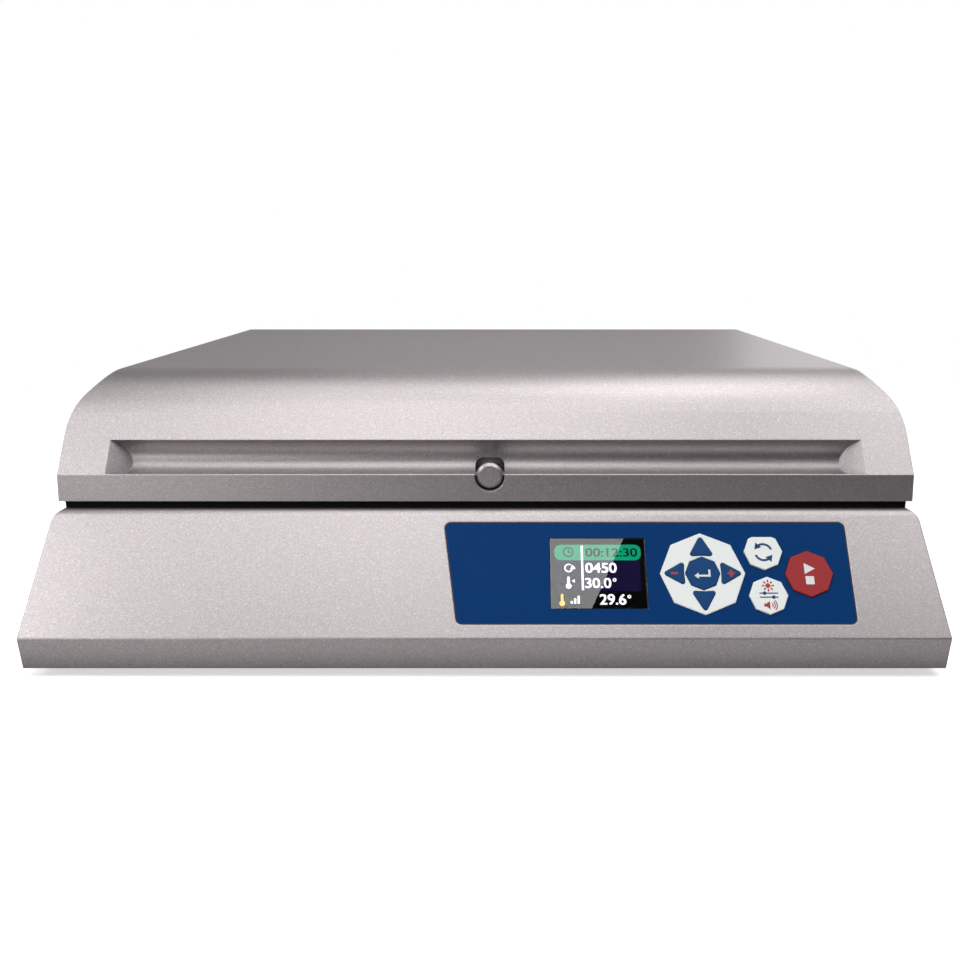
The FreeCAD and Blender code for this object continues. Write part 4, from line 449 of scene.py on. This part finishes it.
panel = {
    "front": -186.5,        # where the slope starts
    "knee": 19.6,
    "lean": 36,        # degrees back from upright
    "print": 0.05,        # how far a printed sign stands up
    "sink": 0.03,
    "flat": 0.01,        # points this near the top count as top
}

boldCopies = {
    "corners": ((-1, -1), (1, -1), (1, 1), (-1, 1), (0, 0)),
    "up": 0.6,        # strokes that lie across grow less
    "step": 0.002,
}

lean = math.radians(panel["lean"])
panelPlace = Matrix((
    (millimetre, 0, 0, 0),
    (0, millimetre * math.sin(lean), -millimetre * math.cos(lean), millimetre * panel["front"]),
    (0, millimetre * math.cos(lean), millimetre * math.sin(lean), millimetre * panel["knee"]),
    (0, 0, 0, 1)))
panelBack = panelPlace.inverted()


def onPanel(nodeName):
    # lowest and highest corner of a part, measured along the panel
    points = [panelBack @ v.co for v in nodes[nodeName].data.vertices]
    low = Vector([min(p[i] for p in points) for i in range(3)])
    high = Vector([max(p[i] for p in points) for i in range(3)])
    return low, high


def moved(outline, across, up):
    return [(x + across, y + up) for x, y in outline]


def turned(outline, degrees):
    c, s = math.cos(math.radians(degrees)), math.sin(math.radians(degrees))
    return [(x * c - y * s, x * s + y * c) for x, y in outline]


def bar(width, height, radius=0.0, steps=5):
    if radius <= 0:
        return [(-width / 2, -height / 2), (width / 2, -height / 2), (width / 2, height / 2),
                (-width / 2, height / 2)]
    outline = []
    for start, x, y in ((-90, 1, -1), (0, 1, 1), (90, -1, 1), (180, -1, -1)):
        for k in range(steps + 1):
            angle = math.radians(start + 90 * k / steps)
            outline.append((x * (width / 2 - radius) + radius * math.cos(angle),
                            y * (height / 2 - radius) + radius * math.sin(angle)))
    return outline


def disc(radius, steps=32):
    return [(radius * math.cos(math.tau * k / steps), radius * math.sin(math.tau * k / steps))
            for k in range(steps)]


def band(radius, width, start, end, steps=24):
    # an open ring from one angle to another
    angles = [math.radians(start + (end - start) * k / steps) for k in range(steps + 1)]
    outer = [((radius + width / 2) * math.cos(a), (radius + width / 2) * math.sin(a)) for a in angles]
    inner = [((radius - width / 2) * math.cos(a), (radius - width / 2) * math.sin(a)) for a in angles]
    return outer + inner[::-1]


def addSlab(shape, outline, low, high):
    under = [shape.verts.new((x, y, low)) for x, y in outline]
    over = [shape.verts.new((x, y, high)) for x, y in outline]
    count = len(outline)
    for k in range(count):
        shape.faces.new((under[k], under[(k + 1) % count], over[(k + 1) % count], over[k]))
    shape.faces.new(over)
    shape.faces.new(under[::-1])


def addPiece(name, mesh, finish, body):
    mesh.materials.append(finishes[finish])
    piece = bpy.data.objects.new(name, mesh)
    bpy.context.scene.collection.objects.link(piece)
    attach(piece, body)
    return piece


def sign(name, outlines, low, high, finish, body, slot, place=panelPlace):
    shape = bmesh.new()
    for outline in outlines:
        addSlab(shape, outline, low, high)
    bmesh.ops.transform(shape, matrix=place, verts=shape.verts)
    bmesh.ops.recalc_face_normals(shape, faces=shape.faces)
    mesh = bpy.data.meshes.new(name)
    shape.to_mesh(mesh)
    shape.free()
    return addPiece(name, mesh, finish, body)


def figures(name, text, box, level, finish, body, bold, place=panelPlace):
    # thin numbers that fill a box of left, low, right and high, made bold by shifted copies
    words = bpy.data.curves.new(name, "FONT")
    words.body = text
    words.size = 1.0
    holder = bpy.data.objects.new(name + "_outline", words)
    bpy.context.scene.collection.objects.link(holder)
    bpy.context.view_layer.update()
    mesh = bpy.data.meshes.new_from_object(holder.evaluated_get(
        bpy.context.evaluated_depsgraph_get()))
    bpy.data.objects.remove(holder)
    shape = bmesh.new()
    for k, (x, y) in enumerate(boldCopies["corners"]):
        shift = Vector((bold * x, bold * y * boldCopies["up"], boldCopies["step"] * k))
        mesh.transform(Matrix.Translation(shift))
        shape.from_mesh(mesh)
        mesh.transform(Matrix.Translation(-shift))
    left, right = min(v.co.x for v in shape.verts), max(v.co.x for v in shape.verts)
    floor, top = min(v.co.y for v in shape.verts), max(v.co.y for v in shape.verts)
    for vertex in shape.verts:
        across = (vertex.co.x - left) / (right - left)
        up = (vertex.co.y - floor) / (top - floor)
        vertex.co = (box[0] + (box[2] - box[0]) * across, box[1] + (box[3] - box[1]) * up,
                     level + vertex.co.z)
    bmesh.ops.transform(shape, matrix=place, verts=shape.verts)
    shape.to_mesh(mesh)
    shape.free()
    mesh.name = name
    mesh.materials.clear()
    return addPiece(name, mesh, finish, body)


def outlineOf(nodeName):
    # the outline of a flat part of the panel, which has no dents, and its level
    points = [panelBack @ v.co for v in nodes[nodeName].data.vertices]
    level = max(p.z for p in points)
    flat = sorted({(round(p.x, 3), round(p.y, 3)) for p in points if level - p.z < panel["flat"]})
    outline = []
    for path in (flat, flat[::-1]):
        side = []
        for x, y in path:
            while len(side) > 1 and ((side[-1][0] - side[-2][0]) * (y - side[-2][1])
                                     <= (side[-1][1] - side[-2][1]) * (x - side[-2][0])):
                side.pop()
            side.append((x, y))
        outline += side[:-1]
    return outline, level


def topOf(nodeName):
    return max(v.co.z for v in nodes[nodeName].data.vertices) / millimetre


def addRing(shape, outer, inner, low, high):
    loops = [[shape.verts.new((x, y, z)) for x, y in line]
             for line, z in ((outer, high), (outer, low), (inner, low), (inner, high))]
    count = len(outer)
    for near, far in zip(loops, loops[1:] + loops[:1]):
        for k in range(count):
            shape.faces.new((near[k], near[(k + 1) % count], far[(k + 1) % count], far[k]))


def shadeLineAlong(name, nodeName, start, width, finish, body):
    # a thin dark line along the outline of a flat part, painted shade for the gap round its edge
    outline, level = outlineOf(nodeName)
    lines = []
    for inward in (start, start + width):
        line = []
        for k, (x, y) in enumerate(outline):
            before, after = outline[k - 1], outline[(k + 1) % len(outline)]
            way = Vector((after[0] - before[0], after[1] - before[1])).normalized()
            line.append((x - way.y * inward, y + way.x * inward))
        lines.append(line)
    shape = bmesh.new()
    addRing(shape, lines[0], lines[1], level - panel["sink"], level + panel["print"])
    bmesh.ops.transform(shape, matrix=panelPlace, verts=shape.verts)
    bmesh.ops.recalc_face_normals(shape, faces=shape.faces)
    mesh = bpy.data.meshes.new(name)
    shape.to_mesh(mesh)
    shape.free()
    return addPiece(name, mesh, finish, body)


def makeArrowSigns(look):
    for nodeName, sides in (("key_minus", 1), ("key_plus", 2)):
        low, high = onPanel(nodeName)
        across, up = (low.x + high.x) / 2, (low.y + high.y) / 2
        across += look["inward"] if nodeName == "key_minus" else -look["inward"]
        strokes = [turned(bar(look["length"], look["width"], look["round"]), 90 * k)
                   for k in range(sides)]
        for k, stroke in enumerate(strokes):
            sign(f"{nodeName}_sign_{k + 1}", [moved(stroke, across, up)], high.z - panel["sink"],
                 high.z + panel["print"] - look["step"] * k, "ink_red", nodeName, "key_red")


# where the painted shade line round the label starts and how wide it is
labelShadeLine = {"start": 0.02, "width": 0.4}
arrowSigns = {"length": 3.4, "width": 1.1, "round": 0.4, "inward": 0.4, "step": 0.01}
enterSign = {"reach": 3.0, "drop": 1.7, "line": 0.95, "head": 1.5}
cycleSign = {"up": 0.5, "radius": 3.9, "line": 1.05, "head": 1.75, "tail": 0.75, "starts": (20, 200),
             "sweep": 118}
sunSign = {"up": 4.6, "radius": 1.15, "rays": 8, "length": 1.35, "width": 0.72, "round": 0.48,
           "reach": 2.15}
sliderSign = {"up": 0.1, "width": 8.6, "line": 0.55, "round": 0.2, "gap": 1.9, "knobs": (-1.9, 2.1),
              "knob": 0.85, "step": 0.01}
speakerSign = {
    "up": -4.6, "line": 0.48, "waves": (1.2, 2.15, 3.1), "spread": 46, "across": 0.2,
    "horn": ((-2.6, -0.75), (-1.5, -0.75), (0.1, -1.95), (0.1, 1.95), (-1.5, 0.75), (-2.6, 0.75)),
}
startSign = {"up": 2.4, "play": 2.6, "tip": 1.1, "back": 0.8, "stop": 3.9, "round": 0.3, "down": -3.2}


def middle(nodeName):
    low, high = onPanel(nodeName)
    return (low.x + high.x) / 2, (low.y + high.y) / 2, high.z


def raised(level):
    return level - panel["sink"], level + panel["print"]


def makeEnterSign(look):
    across, up, level = middle("key_enter")
    line, reach, drop = look["line"], look["reach"], look["drop"]
    barb = look["head"]
    hook = [(reach, drop), (reach, -drop + line), (-reach + barb, -drop + line),
            (-reach + barb, -drop), (reach + line, -drop), (reach + line, drop)]
    head = [(-reach - barb / 3, -drop + line / 2), (-reach + barb, -drop + line / 2 - barb),
            (-reach + barb, -drop + line / 2 + barb)]
    sign("key_enter_sign", [moved(hook, across - line / 2, up), moved(head, across - line / 2, up)],
         *raised(level), "ink_white", "key_enter", "key_white")


def makeCycleSign(look):
    across, up, level = middle("key_cycles")
    tail = look["head"] * look["tail"]
    shapes = []
    for start in look["starts"]:
        end = start + look["sweep"]
        shapes.append(band(look["radius"], look["line"], start, end))
        tip = [(look["head"], 0), (-tail, look["head"]), (-tail, -look["head"])]
        shapes.append(moved(turned(tip, end + 90), look["radius"] * math.cos(math.radians(end)),
                            look["radius"] * math.sin(math.radians(end))))
    sign("key_cycles_sign", [moved(s, across, up + look["up"]) for s in shapes], *raised(level),
         "ink_blue", "key_cycles", "key_blue")


def makeSettingsSigns(rays, sliders, speaker):
    across, up, level = middle("key_settings")
    sun = [disc(rays["radius"])]
    for k in range(rays["rays"]):
        ray = moved(bar(rays["length"], rays["width"], rays["width"] * rays["round"]), rays["reach"], 0)
        sun.append(turned(ray, 360 * k / rays["rays"]))
    sign("key_settings_sun", [moved(s, across, up + rays["up"]) for s in sun], *raised(level),
         "ink_red", "key_settings", "key_red")
    lines = []
    for k, knob in enumerate(sliders["knobs"]):
        height = sliders["gap"] * (0.5 - k)
        lines.append(moved(bar(sliders["width"], sliders["line"], sliders["round"]), 0, height))
        lines.append(moved(disc(sliders["knob"]), knob, height))
    for k, line in enumerate(lines):
        low, high = raised(level)
        sign(f"key_settings_slider_{k + 1}", [moved(line, across, up + sliders["up"])], low,
             high + sliders["step"] * (k % 2), "ink_blue", "key_settings", "key_blue")
    waves = [band(radius, speaker["line"], -speaker["spread"], speaker["spread"])
             for radius in speaker["waves"]]
    outlines = [speaker["horn"]] + [moved(w, speaker["across"], 0) for w in waves]
    sign("key_settings_speaker", [moved(s, across, up + speaker["up"]) for s in outlines],
         *raised(level), "ink_red", "key_settings", "key_red")


def makeStartSign(look):
    across, up, level = middle("key_start_stop")
    size = look["play"]
    play = [(size * look["tip"], 0), (-size * look["back"], size), (-size * look["back"], -size)]
    stop = bar(look["stop"], look["stop"], look["round"])
    sign("key_start_sign",
         [moved(play, across, up + look["up"]), moved(stop, across, up + look["down"])],
         *raised(level), "ink_white", "key_start_stop", "key_white")


# painted shade: a dark navy line round the label stands for the shade in the gap of its recess
shadeLineAlong("label_shade_line", "panel_overlay", labelShadeLine["start"], labelShadeLine["width"], "ink_navy", "base")
makeArrowSigns(arrowSigns)
makeEnterSign(enterSign)
makeCycleSign(cycleSign)
makeSettingsSigns(sunSign, sliderSign, speakerSign)
makeStartSign(startSign)
print("key signs made")

# marks at the back and in the chamber

ratingMarks = {"border": 0.5, "margin": 2.0, "round": 1.0, "lines": (0.34, 0.66), "line": 0.35,
               "lineEnds": 2}
rockerMarks = {"onLength": 3.2, "onRuns": 6, "offRadius": 1.7, "offRuns": 12, "stroke": 0.7,
               "reach": 0.29}
placeNumbers = {"height": 9.0, "width": 5.2, "bold": 0.012, "print": 0.06}


def backPlane(level):
    # across to the left seen from the front, up, and out of the back wall
    return Matrix(((-millimetre, 0, 0, 0), (0, 0, millimetre, level * millimetre),
                   (0, millimetre, 0, 0), (0, 0, 0, 1)))


def makeRatingMarks(look):
    low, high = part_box("rating_plate")
    left, right = -high[0] / millimetre, -low[0] / millimetre
    floor, top = low[2] / millimetre, high[2] / millimetre
    place = backPlane(high[1] / millimetre)
    shape = bmesh.new()
    frames = []
    for inset in (look["margin"], look["margin"] + look["border"]):
        frames.append(moved(bar(right - left - 2 * inset, top - floor - 2 * inset, look["round"]),
                            (left + right) / 2, (floor + top) / 2))
    addRing(shape, frames[0], frames[1], -panel["sink"], panel["print"])
    for share in look["lines"]:
        addSlab(shape, moved(bar(right - left - 2 * look["margin"] - look["lineEnds"], look["line"]),
                             (left + right) / 2, floor + (top - floor) * share),
                -panel["sink"], panel["print"])
    bmesh.ops.transform(shape, matrix=place, verts=shape.verts)
    bmesh.ops.recalc_face_normals(shape, faces=shape.faces)
    mesh = bpy.data.meshes.new("rating_border")
    shape.to_mesh(mesh)
    shape.free()
    addPiece("rating_border", mesh, "ink_navy", "base")


def laidOn(nodeName, outlines, name, finish, body):
    # a sign pressed on a curved part at the back, cut into short runs so that it follows the curve
    node = nodes[nodeName]
    shape = bmesh.new()
    for outline in outlines:
        addSlab(shape, outline, 0.0, 1.0)
    flat = [f for f in shape.faces if abs(f.normal.z) > 0.5]
    bmesh.ops.triangulate(shape, faces=flat)
    for vertex in list(shape.verts):
        start = Vector((-vertex.co.x * millimetre, 1.0, vertex.co.y * millimetre))
        hit, spot = node.ray_cast(start, Vector((0, -1, 0)))[:2]
        level = panel["print"] if vertex.co.z > 0.5 else -panel["sink"]
        if hit:
            vertex.co = spot + Vector((0, level * millimetre, 0))
        else:
            bmesh.ops.delete(shape, geom=[vertex], context="VERTS")
    bmesh.ops.recalc_face_normals(shape, faces=shape.faces)
    mesh = bpy.data.meshes.new(name)
    shape.to_mesh(mesh)
    shape.free()
    return addPiece(name, mesh, finish, body)


def makeRockerMarks(look):
    low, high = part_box("power_rocker")
    across = -(low[0] + high[0]) / 2 / millimetre
    up = (low[2] + high[2]) / 2 / millimetre
    reach = (high[2] - low[2]) / millimetre * look["reach"]
    length, count = look["onLength"], look["onRuns"]
    runs = [moved(bar(look["stroke"], length / count), across,
                  up + reach + length * ((k + 0.5) / count - 0.5)) for k in range(count)]
    laidOn("power_rocker", runs, "rocker_on_mark", "ink_white", "rocker")
    step = 360 / look["offRuns"]
    arcs = [moved(band(look["offRadius"], look["stroke"], step * k, step * (k + 1), 2), across,
                  up - reach) for k in range(look["offRuns"])]
    laidOn("power_rocker", arcs, "rocker_off_mark", "ink_white", "rocker")


def makePlaceNumbers(look):
    # one number in the middle of each quarter of the platform
    low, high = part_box("platform")
    level = topOf("platform")
    place = Matrix.Diagonal((millimetre, millimetre, millimetre, 1))
    middleX, middleY = (low[0] + high[0]) / 2 / millimetre, (low[1] + high[1]) / 2 / millimetre
    halfWidth, halfHeight = look["width"] / 2, look["height"] / 2
    for k in range(4):
        side, end = (-1, 1)[k % 2], (1, -1)[k // 2]
        x = middleX + side * ((high[0] - low[0]) / millimetre / 4)
        y = middleY + end * ((high[1] - low[1]) / millimetre / 4)
        box = (x - halfWidth, y - halfHeight, x + halfWidth, y + halfHeight)
        figures(f"place_number_{k + 1}", str(k + 1), box, level + look["print"], "ink_navy", "platform",
                look["bold"], place)


makeRatingMarks(ratingMarks)
makeRockerMarks(rockerMarks)
makePlaceNumbers(placeNumbers)
print("back and chamber marks made")

# the catch spring; the real one shortens as the button is pushed, this coil keeps its length

catchSpring = {
    "wire": 0.4, "turns": 4.6, "endTurns": 0.9, "lay": 1.05, "steps": 22, "sides": 10,
    "travel": 2.5,        # how far the button goes in
}


def makeCatchSpring(look):
    low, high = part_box("catch_spring")
    wire = look["wire"]
    middleX, middleZ = (low[0] + high[0]) / 2 / millimetre, (low[2] + high[2]) / 2 / millimetre
    radius = (high[0] - low[0]) / 2 / millimetre - wire
    start, end = low[1] / millimetre + wire, high[1] / millimetre - wire
    flat = look["endTurns"]
    total = look["turns"] + 2 * flat
    rise = 2 * wire * look["lay"]        # the closed end turns lie on each other
    count = int(total * look["steps"])
    shape = bmesh.new()
    rings = []
    for k in range(count + 1):
        turn = total * k / count
        if turn < flat:
            y = start + rise * turn
        elif turn > total - flat:
            y = end - rise * (total - turn)
        else:
            span = end - start - 2 * rise * flat
            y = start + rise * flat + span * (turn - flat) / look["turns"]
        angle = math.tau * turn
        out = Vector((math.cos(angle), 0, math.sin(angle)))
        centre = Vector((middleX, y, middleZ)) + out * radius
        ring = []
        for j in range(look["sides"]):
            way = math.tau * j / look["sides"]
            point = centre + (out * math.cos(way) + Vector((0, 1, 0)) * math.sin(way)) * wire
            ring.append(shape.verts.new(point * millimetre))
        rings.append(ring)
    sides = look["sides"]
    for near, far in zip(rings, rings[1:]):
        for j in range(sides):
            shape.faces.new((near[j], near[(j + 1) % sides], far[(j + 1) % sides], far[j]))
    shape.faces.new(rings[0])
    shape.faces.new(rings[-1][::-1])
    bmesh.ops.recalc_face_normals(shape, faces=shape.faces)
    for face in shape.faces:
        face.smooth = True
    mesh = bpy.data.meshes.new("spring_coil")
    shape.to_mesh(mesh)
    shape.free()
    coil = addPiece("spring_coil", mesh, "clip_steel", "lid")
    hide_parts("catch_spring")
    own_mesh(coil)


makeCatchSpring(catchSpring)
print("catch spring made")

# the lit screen, in shares of its width and height from the lower left corner

screenLayout = {
    "start": 0.02, "layer": 0.02, "figureLevel": 0.09,        # heights over the screen module
    "ground": (0.01, 0.01, 0.99, 0.99),
    "bar": (0.045, 0.687, 0.955, 0.913), "barEnd": 0.385,
    "lit": (0.06, 0.245, 0.94, 0.687),
    "divider": (0.324, 0.26, 0.346, 0.897),
    "figures": {
        "timer": ("00:12:30", (0.372, 0.738, 0.918, 0.862), "ink_dark", 0.018),
        "speed": ("0450", (0.366, 0.507, 0.694, 0.650), "glow_white", 0.021),
        "set_point": ("30.0", (0.360, 0.290, 0.632, 0.433), "glow_white", 0.021),
        "actual": ("29.6", (0.505, 0.056, 0.779, 0.205), "glow_white", 0.021),
    },
    "rings": {"set": (0.667, 0.405), "actual": (0.812, 0.169)},
    "ringSize": (0.62, 0.5),
}

# small signs of the screen: their places in shares, their sizes in millimetres
clockSign = {"place": (0.193, 0.804), "radius": 2.2, "line": 0.55, "long": 1.7, "longUp": 0.75,
             "short": 1.3, "shortAcross": 0.5}
orbitSign = {"place": (0.193, 0.576), "radius": 1.75, "line": 0.62, "span": (60, 330), "turn": -20,
             "head": ((1.5, 0), (-0.7, 1.35), (-0.7, -1.35)), "headPlace": (1.8, 0.2)}
heatSign = {"set": (0.188, 0.364), "actual": (0.117, 0.12), "stem": (1.2, 4.2, 0.55), "stemUp": 0.9,
            "bulb": 1.3, "bulbUp": -1.5, "pointer": ((1.4, 0.9), (2.9, 1.8), (2.9, 0.0))}
stepSign = {"place": (0.215, 0.09), "count": 3, "width": 1.0, "low": 1.2, "rise": 1.3, "round": 0.15,
            "apart": 1.6, "up": 0.6}


def makeScreen(look):
    low, high = onPanel("display_window")
    left, floor = low.x, low.y
    width, height = high.x - low.x, high.y - low.y
    level = onPanel("display_module")[1].z + look["start"]
    step = look["layer"]

    def at(x, y):
        return left + width * x, floor + height * y

    def patch(name, corners, layer, finish, radius=0.0):
        x0, y0 = at(corners[0], corners[1])
        x1, y1 = at(corners[2], corners[3])
        outline = moved(bar(x1 - x0, y1 - y0, radius), (x0 + x1) / 2, (y0 + y1) / 2)
        sign(name, [outline], level + step * layer, level + step * (layer + 1), finish, "base",
             "screen")

    def mark(name, outlines, corner, finish, layer=3):
        x, y = at(*corner)
        sign(name, [moved(o, x, y) for o in outlines], level + step * layer,
             level + step * (layer + 1), finish, "base", "screen")

    patch("screen_ground", look["ground"], 0, "glow_off")
    patch("screen_lit_field", look["lit"], 1, "glow_navy")
    tall = (look["bar"][3] - look["bar"][1]) * height
    patch("screen_timer_bar", look["bar"], 2, "glow_green", tall * look["barEnd"])
    patch("screen_divider", look["divider"], 3, "glow_white")
    for name, (text, box, finish, bold) in look["figures"].items():
        figures("screen_" + name, text, at(box[0], box[1]) + at(box[2], box[3]),
                level + look["figureLevel"], finish, "base", bold)
    for name, corner in look["rings"].items():
        mark("screen_degree_" + name, [band(*look["ringSize"], 0, 360)], corner, "glow_white")

    look = clockSign
    clock = [band(look["radius"], look["line"], 0, 360),
             moved(bar(look["line"], look["long"]), 0, look["longUp"]),
             moved(bar(look["short"], look["line"]), look["shortAcross"], 0.0)]
    for k, part in enumerate(clock):
        mark(f"screen_clock_{k + 1}", [part], look["place"], "ink_dark", 3 + k)

    look = orbitSign
    orbit = [band(look["radius"], look["line"], *look["span"]),
             moved(turned(look["head"], look["turn"]), *look["headPlace"])]
    mark("screen_orbit", orbit, look["place"], "glow_white")

    look = heatSign
    stem = moved(bar(*look["stem"]), 0, look["stemUp"])
    bulb = moved(disc(look["bulb"]), 0, look["bulbUp"])
    mark("screen_set_stem", [stem], look["set"], "glow_white")
    mark("screen_set_bulb", [bulb, look["pointer"]], look["set"], "glow_white", 4)
    mark("screen_actual_stem", [stem], look["actual"], "glow_yellow")
    mark("screen_actual_bulb", [bulb], look["actual"], "glow_yellow", 4)

    look = stepSign
    steps = [moved(bar(look["width"], look["low"] + look["rise"] * k, look["round"]),
                   look["apart"] * k, look["up"] * k) for k in range(look["count"])]
    mark("screen_actual_steps", steps, look["place"], "glow_white")


makeScreen(screenLayout)
print("screen made")
